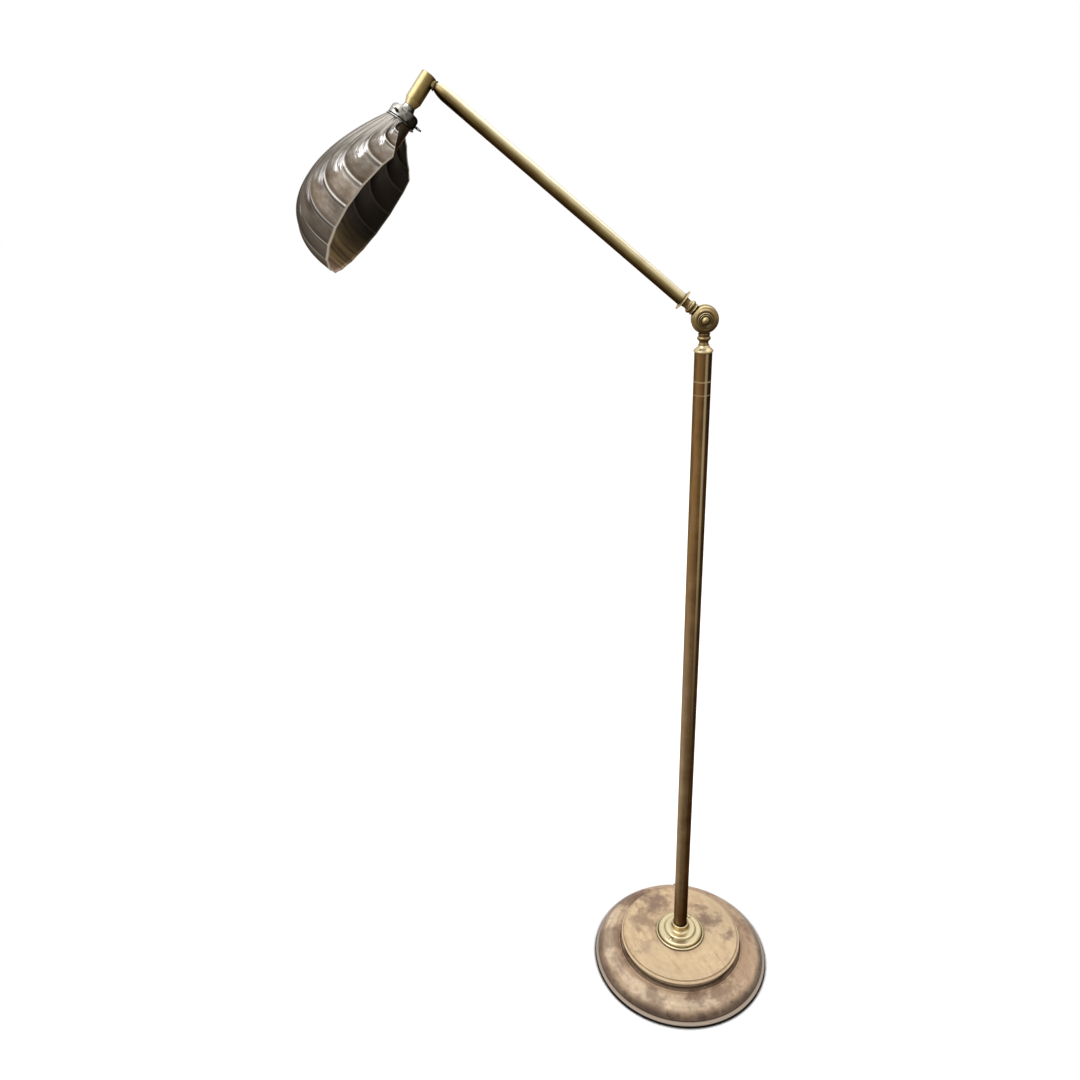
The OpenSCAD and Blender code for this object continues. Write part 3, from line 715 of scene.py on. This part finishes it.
@dataclass(frozen=True)
class FlutedPewter:
    """The shade's outside with painted light: highlights on the rib lines and in bright hooks, shade in the
    flutes and towards the tip, and a brown reflection near the mouth.
    """

    name: str
    # pale and glint are colours of painted highlights, the dark colour is painted shade, and the brown one a
    # painted reflection
    pale: Colour
    grey: Colour
    painted_shade: Colour
    brown_reflection: Colour
    glint: Colour
    edge: Colour
    # way is the direction the painted light comes from
    way: Triple = (-0.35, -0.1, 0.8)
    stretch: Pair = (2.3, 1.6)
    scales: Pair = (5.0, 70.0)
    rib_line: float = 0.05
    hook_run: float = 0.6
    hook_half: float = 0.2
    edge_run: Pair = (0.986, 0.993)
    relief: float = 0.4 * MM

    def _body(self, paint: ShadePaint) -> Socket:
        """Mixes the grey metal with painted light and shade: pale where it faces way, paler towards the neck,
        and painted shade towards the tip.

        Args:
            paint: The material in the making.

        Returns:
            The colour.
        """
        mottling = (paint.flute - 0.5) * 0.3 + (paint.streaks - 0.5) * 0.8
        # Painted light and shade: paler where the surface faces way.
        tone = paint.facing(self.way) * 0.3 + 0.42 + mottling
        body = paint.ramp(tone, ((0.1, self.painted_shade), (0.48, self.grey), (0.95, self.pale)))
        # Painted shade towards the tip.
        low = paint.across.between(4.2, 0.6) * paint.run.between(0.25, 0.7) * (paint.streaks * 0.6 + 0.45)
        body = paint.blend(low, body, self.painted_shade)
        return paint.blend(paint.run.between(0.42, 0.08) * (paint.streaks * 1.3 - 0.1), body, self.pale)

    def _painted_reflection_and_shade(self, paint: ShadePaint, body: Socket) -> Socket:
        """Lays a painted brown reflection near the mouth and painted shade in the creases beside each rib over
        the colour.

        Args:
            paint: The material in the making.
            body: The colour so far.

        Returns:
            The colour with both.
        """
        flute = paint.flute
        # Painted brown reflection in the upper flutes near the mouth, in patches.
        worn = paint.run.between(0.55, 0.68) * paint.across.between(1.2, 3.6) * flute.between(1.0, 0.7)
        body = paint.blend(worn * (paint.streaks * 0.8 + paint.clouds * 1.6 - 0.6), body, self.brown_reflection)
        # Painted shade in the creases beside each rib.
        valley = flute.between(0.03, 0.07) * flute.between(0.26, 0.08)
        under = flute.between(0.97, 0.93) * flute.between(0.8, 0.9)
        crease_shade = (valley * 0.5).greater(under * 0.75) * paint.run.between(0.2, 0.5)
        return paint.blend(crease_shade, body, self.painted_shade)

    def _painted_highlights(self, paint: ShadePaint, body: Socket) -> Socket:
        """Lays painted highlights, as bright hooks in the flutes and pale rib lines, and the edge over the
        colour.

        Args:
            paint: The material in the making.
            body: The colour so far.

        Returns:
            The finished colour.
        """
        # Painted highlights: bright hooks in the flutes.
        place = paint.run.line(self.hook_run, self.hook_half) * paint.flute.between(0.25, 0.75)
        hook_highlight = (place * (paint.streaks * 3.4 - 1.15)).between(0.1, 0.6)
        body = paint.blend(hook_highlight, body, self.glint)
        # Painted highlights on the rib lines.
        body = paint.blend(paint.ridge(self.rib_line) * (paint.streaks * 1.3 - 0.05), body, self.pale)
        return paint.blend(paint.run.between(*self.edge_run) * 0.85, body, self.edge)

    def make(self) -> bpy.types.Material:
        """Builds the material.

        Returns:
            The material.
        """
        tint = (0.5, 0.46, 0.42)
        paint = ShadePaint(self.name, self.stretch, self.scales, Metallic=0.95, Specular_Tint=tint)
        body = self._painted_highlights(paint, self._painted_reflection_and_shade(paint, self._body(paint)))
        return paint.finished(body, 0.26 + paint.clouds * 0.16, paint.clouds, self.relief, 0.4)


@dataclass(frozen=True)
class ShadeLining:
    """The shade's inside: dark brown lacquer, burnt olive in streaks towards the tip."""

    name: str
    black: Colour
    olive: Colour
    rose: Colour
    line: Colour
    stretch: Pair = (1.3, 1.1)
    scales: Pair = (3.0, 60.0)
    rib_line: float = 0.07
    relief: float = 0.3 * MM

    def make(self) -> bpy.types.Material:
        """Builds the material.

        Returns:
            The material.
        """
        paint = ShadePaint(self.name, self.stretch, self.scales, Metallic=0.6, Specular_IOR_Level=0.3)
        burnt = paint.across.between(4.4, 1.4) * paint.run.between(0.35, 0.8)
        colour = paint.blend(burnt * (paint.streaks * 2.6 - 0.7), self.black, self.olive)
        tip = paint.across.between(2.2, 0.3) * paint.run.between(0.8, 0.95) * (paint.clouds * 1.6)
        colour = paint.blend(tip, colour, self.rose)
        ridge = paint.ridge(self.rib_line) * paint.run.between(0.3, 0.6)
        colour = paint.blend(ridge * 0.4, colour, self.line)
        return paint.finished(colour, 0.4 + paint.clouds * 0.25, paint.clouds, self.relief, 0.5)


@dataclass(frozen=True)
class PlainSkin:
    """A plain material for hidden and small pieces: plastic, felt, iron, board. Relief is in metres."""

    name: str
    light: Colour
    deep: Colour
    metallic: float = 0.0
    roughness: float = 0.6
    grit: float = 500.0
    relief: float = 0.2 * MM
    cloud_scale: float = 50.0

    def make(self) -> bpy.types.Material:
        """Builds the material.

        Returns:
            The material.
        """
        paint = Paint(self.name, Metallic=self.metallic)
        grit = paint.noise(self.grit, 4.0)
        clouds = paint.noise(self.cloud_scale)
        speckle = (grit * 0.6 + clouds * 0.6).between(0.4, 0.8)
        colour = paint.blend(speckle, self.deep, self.light)
        return paint.finished(colour, self.roughness + clouds * 0.2 - 0.1, grit, self.relief, 0.7)


# ---- mesh tools


def mesh_piece(
    name: str, points: "list[Vector]", faces: "list[tuple[int, ...]]", body: str
) -> bpy.types.Object:
    """Makes a smooth-shaded piece that rides on a body.

    Args:
        name: The piece's name.
        points: Its points at rest, in the frame's own axes, in metres.
        faces: Its faces, by point number.
        body: The body it rides on.

    Returns:
        The piece.
    """
    mesh = bpy.data.meshes.new(name)
    mesh.from_pydata([tuple(p) for p in points], [], faces)
    mesh.validate()
    mesh.polygons.foreach_set("use_smooth", [True] * len(mesh.polygons))
    piece = bpy.data.objects.new(name, mesh)
    bpy.context.collection.objects.link(piece)
    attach(piece, body)
    return piece


def dress(material: bpy.types.Material, *nodes: str) -> None:
    """Gives CAD nodes a material.

    Args:
        material: The material.
        nodes: Names of CAD nodes.
    """
    for name in nodes:
        mesh = frame["nodes"][name].data
        mesh.materials.clear()
        mesh.materials.append(material)
        LOG.info("dressed %s in %s", name, material.name)


# ---- sub-assemblies


@dataclass
class Stand:
    """Wooden base, its hidden hardware and the column. Lengths are in metres.

    ring_height is the column's lower fine line, and seam_height the seam where its sleeve turns.
    """

    lower_r: float = 149.5 * MM
    ring_height: float = 1.0295
    seam_height: float = 1.0473

    def _lower_wood(self) -> WeatheredWood:
        """The lower disc's wood, with painted shade on its shoulder, a painted highlight on its crown and a
        thin band at the floor in painted light.

        Returns:
            The finish.
        """
        return WeatheredWood(
            "wood_lower",
            pale=(0.74, 0.52, 0.335),
            tan=(0.36, 0.225, 0.14),
            stain=(0.165, 0.092, 0.062),
            dirt_and_shade=(0.034, 0.017, 0.008),
            stains=(
                Stain(-0.088, 0.097, 0.035),
                Stain(-0.127, 0.0, 0.03, 0.8),
                Stain(-0.105, -0.051, 0.03, 0.7),
                Stain(-0.053, -0.115, 0.028, 0.9),
                Stain(0.02, -0.112, 0.03),
                Stain(0.065, -0.10, 0.035, 0.8),
                Stain(0.125, 0.03, 0.03, 0.5),
            ),
            worn=0.75,
            shoulder=ShoulderShade(
                start=self.lower_r - 17 * MM,
                full=self.lower_r - 6 * MM,
                fading=self.lower_r - 2 * MM,
                end=self.lower_r - 0.5 * MM,
            ),
            band_height=8.6 * MM,
            crest=self.lower_r - 25 * MM,
        )

    @staticmethod
    def _upper_wood() -> WeatheredWood:
        """The upper disc's paler wood.

        Returns:
            The finish.
        """
        return WeatheredWood(
            "wood_upper",
            pale=(0.88, 0.67, 0.41),
            tan=(0.58, 0.39, 0.235),
            stain=(0.24, 0.15, 0.11),
            dirt_and_shade=(0.06, 0.035, 0.02),
            stains=(
                Stain(-0.047, 0.061, 0.024),
                Stain(-0.066, 0.02, 0.02, 0.8),
                Stain(0.055, 0.03, 0.03),
                Stain(0.086, 0.0, 0.014),
                Stain(-0.06, -0.04, 0.018, 0.5),
            ),
            worn=0.4,
        )

    def _column_brass(self) -> PatinaBrass:
        """The column's dark brass, with painted light and shade across it, warmer towards its top with a
        painted highlight there, and with two fine pale lines round it.

        Returns:
            The finish.
        """
        upper = UpperTube(
            heights=(0.35, 1.0),
            stops=(
                (0.1, (0.010, 0.005, 0.001)),
                (0.3, (0.042, 0.020, 0.006)),
                (0.5, (0.115, 0.058, 0.018)),
                (0.72, (0.17, 0.095, 0.036)),
                (0.92, (0.07, 0.038, 0.014)),
            ),
            way=(0.36, -0.93, 0.0),
            painted_highlight=(0.32, 0.25, 0.14),
        )
        return PatinaBrass(
            "column_brass",
            (
                (0.1, (0.010, 0.004, 0.001)),
                (0.3, (0.036, 0.019, 0.007)),
                (0.5, (0.082, 0.050, 0.022)),
                (0.7, (0.16, 0.112, 0.066)),
                (0.92, (0.26, 0.195, 0.13)),
            ),
            (-0.93, 0.2, 0.0),
            Drawn.COLUMN,
            roughness=0.28,
            mottle=0.3,
            rings=(
                RingLine(self.ring_height, half_width=1.1 * MM, strength=0.44),
                RingLine(self.seam_height, half_width=1.3 * MM, strength=0.8),
            ),
            upper=upper,
        )

    def build(self) -> None:
        """Dresses the stand's nodes and the plain steel and plastic ones."""
        felt = PlainSkin(
            "felt", (0.02, 0.016, 0.013), (0.008, 0.006, 0.005), roughness=0.95, grit=1400.0, relief=0.6 * MM
        )
        iron = PlainSkin(
            "cast_iron", (0.08, 0.08, 0.08), (0.03, 0.03, 0.03), 0.6, 0.65, grit=300.0, relief=0.6 * MM
        )
        black = PlainSkin("moulded_black", (0.03, 0.03, 0.03), (0.015, 0.015, 0.015), roughness=0.45)
        steel = PlainSkin("zinc_steel", (0.5, 0.5, 0.5), (0.32, 0.32, 0.33), 1.0, 0.35).make()
        dress(self._lower_wood().make(), "base_lower")
        dress(self._upper_wood().make(), "base_upper")
        dress(felt.make(), "base_felt")
        dress(iron.make(), "base_weight")
        dress(black.make(), "cord_bush", "holder_core")
        dress(steel, "rod_washer", "rod_nut", "threaded_rod", "swivel_washer", "swivel_nut")
        dress(steel, "pivot_screw", "husk_nut", "nipple")
        dress(self._column_brass().make(), "column_tube", "swivel_post", "column_sleeve")


@dataclass
class BrassWork:
    """Foot flange, cap, knuckle, arm and husk, with the lampholder's pieces except its core."""

    pale: PatinaBrass = PatinaBrass(
        "pale_brass",
        (
            (0.15, (0.06, 0.040, 0.014)),
            (0.42, (0.29, 0.215, 0.10)),
            (0.65, (0.49, 0.385, 0.21)),
            (0.95, (0.76, 0.665, 0.44)),
        ),
        (-0.35, -0.2, 0.75),
        mottle=0.1,
    )
    turned: PatinaBrass = PatinaBrass(
        "turned_brass",
        (
            (0.2, (0.010, 0.006, 0.002)),
            (0.44, (0.055, 0.031, 0.010)),
            (0.64, (0.19, 0.128, 0.054)),
            (0.92, (0.62, 0.51, 0.29)),
        ),
        (-0.35, -0.1, 0.9),
        corner_shade_full=0.3,
    )
    drawn: PatinaBrass = PatinaBrass(
        "drawn_brass",
        (
            (0.14, (0.008, 0.004, 0.001)),
            (0.34, (0.028, 0.016, 0.004)),
            (0.5, (0.13, 0.088, 0.030)),
            (0.66, (0.34, 0.27, 0.14)),
            (0.8, (0.58, 0.50, 0.32)),
            (0.92, (0.90, 0.86, 0.68)),
        ),
        (0.65, 0.0, 0.76),
        Drawn.ARM,
        mottle=0.12,
    )
    husk: PatinaBrass = PatinaBrass(
        "husk_brass",
        (
            (0.1, (0.02, 0.011, 0.003)),
            (0.34, (0.12, 0.08, 0.025)),
            (0.6, (0.40, 0.31, 0.14)),
            (0.92, (0.82, 0.77, 0.56)),
        ),
        (-0.82, 0.05, 0.45),
        mottle=0.12,
    )
    bronzed: PatinaBrass = PatinaBrass(
        "bronzed_brass", ((0.3, (0.006, 0.004, 0.003)), (0.8, (0.07, 0.05, 0.03))), (0.0, 0.0, 1.0)
    )
    fibre: PlainSkin = PlainSkin("fibre", (0.03, 0.02, 0.012), (0.012, 0.008, 0.005), roughness=0.7)
    board: PlainSkin = PlainSkin("board", (0.40, 0.30, 0.18), (0.28, 0.2, 0.12), roughness=0.85)

    def build(self) -> None:
        """Dresses the brass nodes and the washers and liner between them."""
        pale = self.pale.make()
        turned = self.turned.make()
        dress(pale, "foot_flange", "flange_screws", "column_cap", "arm_collar")
        dress(pale, "screw_shell", "centre_contact")
        dress(turned, "foot_plug", "swivel_bush", "knuckle_lower", "knuckle_upper")
        dress(turned, "knuckle_bolt", "knuckle_rosette", "knuckle_nut")
        dress(self.drawn.make(), "arm_tube", "arm_tip")
        dress(self.husk.make(), "husk", "husk_cap")
        dress(self.bronzed.make(), "holder_cap", "holder_shell")
        dress(self.fibre.make(), "knuckle_washer", "tip_washer")
        dress(self.board.make(), "holder_liner")


@dataclass
class Shade:
    """The fluted clam-shell shade and its holder. Lengths are in metres, angles in degrees.

    A place on the shell is x across the flutes, 0 at the tip and half_flutes at the neck's ends, and s along
    a rib, 0 at the neck and 1 at the mouth. The rim is a curve from the tip to each shoulder, drawn out by
    the points low and high, and a straight line from there to the neck.
    """

    half_flutes: int = 9
    shoulder_flute: int = 7
    steps: int = 14
    rows: int = 72
    neck_open: float = 112.0
    neck_r: float = 18.4 * MM
    neck_seat: float = 0.7 * MM
    length: float = 188.7 * MM
    width: float = 154.0 * MM
    shoulder_z: float = 41.7 * MM
    shoulder_w: float = 108.0 * MM
    mouth_out: float = 31.2 * MM
    tip_in: float = 2.6 * MM
    low_in: float = 9.5 * MM
    low_reach: float = 0.36
    low_drop: float = 2 * MM
    high_in: float = 6.9 * MM
    high_reach: float = 0.71
    high_drop: float = 0.37
    high_lift: float = 1.15
    lip_out: float = 2 * MM
    lip_drop: float = 5 * MM
    rib_start: float = 0.53
    rib_end: float = 0.49
    flare: float = 30.6
    wall: float = 1.4 * MM
    rib_h: float = 3.2 * MM
    rib_level: float = 0.7
    rib_foot: float = 0.12
    rib_growth: float = 1.5
    rib_fade: float = 0.5
    roll: float = 0.5 * MM
    roll_rows: float = 1.5
    plain_to: float = 0.01
    twist: float = 6.0
    inset: float = 0.04 * MM

    def _place(self) -> Matrix:
        """Finds the shade's neck from the frame's joints.

        Returns:
            The place, with +X to the mouth and +Z up the neck.
        """
        joints = {joint["name"]: joint for joint in frame["joints"]}
        up = -Vector(joints["shade_turn"]["axis"])
        side = Vector(joints["head_swing"]["axis"])
        forward = Matrix.Rotation(math.radians(-self.twist), 3, up) @ side
        place = Matrix((forward, up.cross(forward), up)).transposed().to_4x4()
        place.translation = Vector(joints["shade_turn"]["pos_m"])
        return place

    def _outward(self, x: float) -> Vector:
        """Direction out of the neck's axis for a place across the flutes."""
        turn = math.radians(self.neck_open * x / self.half_flutes)
        return Vector((-math.cos(turn), math.sin(turn), 0.0))

    @staticmethod
    def _curve(a: Vector, b: Vector, c: Vector, d: Vector, s: float) -> Vector:
        """A point of a cubic curve."""
        r = 1.0 - s
        return a * r**3 + b * (3 * s * r * r) + c * (3 * s * s * r) + d * s**3

    def _rim(self, x: float) -> Vector:
        """Places a point of the mouth's edge.

        Args:
            x: Across the flutes.

        Returns:
            The point.
        """
        out, z = self.mouth_out, self.shoulder_z
        tip = Vector((out - self.tip_in, 0.0, -self.length))
        low = Vector((out - self.low_in, self.low_reach * self.width, -self.length - self.low_drop))
        high_z = -self.high_drop * self.length - self.high_lift * z
        high = Vector((out - self.high_in, self.high_reach * self.width, high_z))
        shoulder = Vector((out, self.shoulder_w / 2, -z))
        lip = self._outward(self.half_flutes) * (self.neck_r + self.lip_out)
        lip += Vector((0.0, 0.0, -self.lip_drop))
        beyond = abs(x) - self.shoulder_flute
        if beyond <= 0:
            point = self._curve(tip, low, high, shoulder, abs(x) / self.shoulder_flute)
        else:
            point = shoulder.lerp(lip, beyond / (self.half_flutes - self.shoulder_flute))
        if x < 0:
            point.y = -point.y
        return point

    def _bowl(self, x: float, s: float) -> Vector:
        """Places a point of the smooth shell, before its ribs.

        Args:
            x: Across the flutes.
            s: Along the rib.

        Returns:
            The point.
        """
        out = self._outward(x)
        start = out * (self.neck_r - self.neck_seat)
        end = self._rim(x)
        span = (end - start).length
        slope = math.radians(self.flare)
        leave = Vector((0.0, 0.0, -math.cos(slope))) + out * math.sin(slope)
        after_start = start + leave * span * self.rib_start
        before_end = end + Vector((-span * self.rib_end, 0.0, 0.0))
        return self._curve(start, after_start, before_end, end, s)

    def _normal(self, x: float, s: float, x_step: float = 0.05, s_step: float = 0.02) -> Vector:
        """Finds the way out of the smooth shell.

        Args:
            x: Across the flutes.
            s: Along the rib.
            x_step: Half the step across.
            s_step: Half the step along.

        Returns:
            The direction, of length 1.
        """
        if s < self.plain_to:
            return self._outward(x)
        most = self.half_flutes
        side = self._bowl(min(x + x_step, most), s) - self._bowl(max(x - x_step, -most), s)
        along = self._bowl(x, min(s + s_step, 1.0)) - self._bowl(x, s - s_step)
        return side.cross(along).normalized()

    @staticmethod
    def _rib(x: float) -> float:
        """1 on a rib and 0 in the middle of a flute."""
        return (1.0 - 2.0 * abs(x - math.floor(x) - 0.5)) ** 2

    def _lift(self, x: float, s: float) -> float:
        """Works out how far the ribbed shell stands out of the smooth one.

        Args:
            x: Across the flutes.
            s: Along the rib.

        Returns:
            The distance, below 0 in a flute.
        """
        if s < self.plain_to:
            return 0.0
        height = self.rib_h * min(1.0, self.rib_foot + self.rib_growth * s) * (1.0 - self.rib_fade * s**6)
        return (self._rib(x) - self.rib_level) * height

    def _grid(self) -> "tuple[list[Vector], list[float], list[float]]":
        """Lays out the shell's points, the outside's first.

        Returns:
            The points, and for each how far along its rib it lies and its place across the flutes.
        """
        place = self._place()
        points, run, across = [], [], []
        for depth in (0.0, self.wall):
            for i in range(2 * self.half_flutes * self.steps + 1):
                x = i / self.steps - self.half_flutes
                for j in range(self.rows + 1):
                    s = j / self.rows
                    rolled = max(0.0, 1.0 - (self.rows - j) / self.roll_rows) if depth == 0.0 else 0.0
                    out = self._lift(x, s) + self.roll * rolled - self.inset - depth
                    points.append(place @ (self._bowl(x, s) + self._normal(x, s) * out))
                    run.append(s)
                    across.append(x)
        return points, run, across

    def _faces(self) -> "tuple[list[tuple[int, ...]], list[int]]":
        """Joins the shell's points: outside, inside, and the edges all round.

        Returns:
            The faces by point number, and for each 1 where it is the lining.
        """
        columns = 2 * self.half_flutes * self.steps
        row = self.rows + 1
        side = (columns + 1) * row
        faces, lining = [], []
        for i in range(columns):
            for j in range(self.rows):
                a = i * row + j
                b = a + side
                faces += [(a, a + row, a + row + 1, a + 1), (b, b + 1, b + row + 1, b + row)]
                lining += [0, 1]
            for j in (0, self.rows):
                a = i * row + j
                edge = (a, a + side, a + side + row, a + row)
                faces.append(edge if j == 0 else edge[::-1])
                lining.append(0)
        for j in range(self.rows):
            for i in (0, columns):
                a = i * row + j
                edge = (a, a + 1, a + 1 + side, a + side)
                faces.append(edge if i == 0 else edge[::-1])
                lining.append(0)
        return faces, lining

    def _shell(self) -> bpy.types.Object:
        """Builds the shell in one mesh, with the marks that its finishes read.

        Returns:
            The piece.
        """
        points, run, across = self._grid()
        faces, lining = self._faces()
        shell = mesh_piece("fluted_shell", points, faces, "shade")
        shell.data.polygons.foreach_set("material_index", lining)
        for name, values in (("run", run), ("across", across)):
            layer = shell.data.attributes.new(name, "FLOAT", "POINT")
            layer.data.foreach_set("value", values)
        return shell

    def build(self) -> None:
        """Makes the shell and dresses the holder."""
        shell = self._shell()
        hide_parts("shade_shell")
        outside = FlutedPewter(
            "fluted_pewter",
            pale=(0.42, 0.40, 0.36),
            grey=(0.150, 0.132, 0.114),
            painted_shade=(0.032, 0.025, 0.019),
            brown_reflection=(0.075, 0.050, 0.031),
            glint=(0.70, 0.68, 0.67),
            edge=(0.30, 0.26, 0.205),
        )
        inside = ShadeLining(
            "shade_lining",
            black=(0.015, 0.010, 0.005),
            olive=(0.43, 0.29, 0.13),
            rose=(0.62, 0.40, 0.30),
            line=(0.09, 0.072, 0.046),
        )
        shell.data.materials.append(outside.make())
        shell.data.materials.append(inside.make())
        LOG.info("built %s with %d faces", shell.name, len(shell.data.polygons))
        bright = Nickel(
            "worn_nickel", bright=(0.58, 0.57, 0.53), mid=(0.115, 0.105, 0.09), dark=(0.010, 0.008, 0.006)
        )
        dress(bright.make(), "shade_holder", "thumb_screws", "shade_neck")


# ---- studio


@dataclass(frozen=True)
class Camera:
    """The photograph's viewpoint, fitted to the base's ellipses and the column's edges.

    place is in metres, sensor in millimetres, and focal_px and frame_px in the photograph's pixels.
    """

    place: Triple = (-0.0990, -1.1315, 1.3359)
    right: Triple = (0.9952, 0.0907, -0.0375)
    forward: Triple = (-0.0982, 0.9046, -0.4147)
    focal_px: float = 867.0
    frame_px: float = 1080.0
    sensor: float = 36.0

    def build(self) -> None:
        """Adds the camera."""
        data = bpy.data.cameras.new("camera")
        data.sensor_width = self.sensor
        data.lens = self.sensor * self.focal_px / self.frame_px
        back = -Vector(self.forward).normalized()
        right = Vector(self.right)
        right = (right - back * right.dot(back)).normalized()
        turn = Matrix((right, back.cross(right), back)).transposed().to_4x4()
        camera = bpy.data.objects.new("camera", data)
        camera.matrix_world = Matrix.Translation(self.place) @ turn
        bpy.context.collection.objects.link(camera)
        bpy.context.scene.camera = camera


@dataclass(frozen=True)
class Lamp:
    """A soft square lamp: where it hangs, what it points at, its side in metres and its power in watts."""

    name: str
    place: Triple
    aim: Triple
    size: float
    power: float

    def build(self) -> None:
        """Adds the lamp."""
        data = bpy.data.lights.new(self.name, "AREA")
        data.size = self.size
        data.energy = self.power
        lamp = bpy.data.objects.new(self.name, data)
        turn = (Vector(self.aim) - Vector(self.place)).to_track_quat("-Z", "Y").to_matrix().to_4x4()
        lamp.matrix_world = Matrix.Translation(self.place) @ turn
        bpy.context.collection.objects.link(lamp)


@dataclass(frozen=True)
class Studio:
    """Pale floor, white surroundings and three soft lamps. Lengths are in metres."""

    floor_half: float = 14.0
    floor_glow: float = 0.68
    floor_colour: Colour = (0.82, 0.82, 0.82)
    contact_reach: float = 30 * MM
    contact_full: float = 0.34
    # colour of the painted contact shadow
    contact_shadow_colour: Colour = (0.01, 0.008, 0.006)
    white: Colour = (1.0, 1.0, 1.0)
    soft_world: float = 0.42
    lamps: "tuple[Lamp, ...]" = (
        Lamp("key", (-1.9, -1.6, 2.9), (-0.1, 0.0, 0.8), 3.0, 62.0),
        Lamp("fill", (2.2, -1.4, 1.8), (0.0, 0.0, 0.7), 2.6, 16.0),
        Lamp("top", (0.2, 0.6, 3.4), (-0.1, 0.0, 0.5), 3.0, 34.0),
    )

    def _floor(self) -> None:
        """Adds the floor, which takes the lamp's shadow, has a painted contact shadow where the lamp stands,
        and is white elsewhere.
        """
        h = self.floor_half
        mesh = bpy.data.meshes.new("floor")
        mesh.from_pydata([(-h, -h, 0), (h, -h, 0), (h, h, 0), (-h, h, 0)], [], [(0, 1, 2, 3)])
        floor = bpy.data.objects.new("floor", mesh)
        bpy.context.collection.objects.link(floor)
        paint = Paint("floor_white", Roughness=0.95, Specular_IOR_Level=0.1)
        # Painted contact shadow round the foot, from ambient occlusion.
        contact_shadow = paint.corners(self.contact_reach, self.contact_full)
        paint.give("Emission Strength", paint.seen_white() * self.floor_glow)
        paint.give("Base Color", paint.blend(contact_shadow, self.floor_colour, self.contact_shadow_colour))
        paint.give("Emission Color", paint.blend(contact_shadow, self.white, (0.0, 0.0, 0.0)))
        mesh.materials.append(paint.material)

    def _world(self) -> None:
        """Adds white surroundings whose soft light is weaker than they look."""
        world = bpy.data.worlds.new("surroundings")
        world.use_nodes = True
        bpy.context.scene.world = world
        graph = Graph(world.node_tree)
        background = world.node_tree.nodes["Background"]
        levels = {"Value": graph.seen_white(), "To Min": self.soft_world, "To Max": 1.0}
        graph.feed(background.inputs["Strength"], graph.node("ShaderNodeMapRange", {}, levels).outputs[0])
        graph.feed(background.inputs["Color"], self.white)

    def build(self) -> None:
        """Adds the floor, the surroundings and the lamps."""
        self._floor()
        self._world()
        for lamp in self.lamps:
            lamp.build()
        bpy.context.scene.view_settings.view_transform = "Standard"


def main() -> None:
    """Builds the scene in order."""
    logging.basicConfig(level=logging.INFO, format="%(message)s")
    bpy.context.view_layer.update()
    for part in (Camera(), Studio(), Stand(), BrassWork(), Shade()):
        LOG.info("building %s", type(part).__name__)
        part.build()


if __name__ == "__main__":
    main()
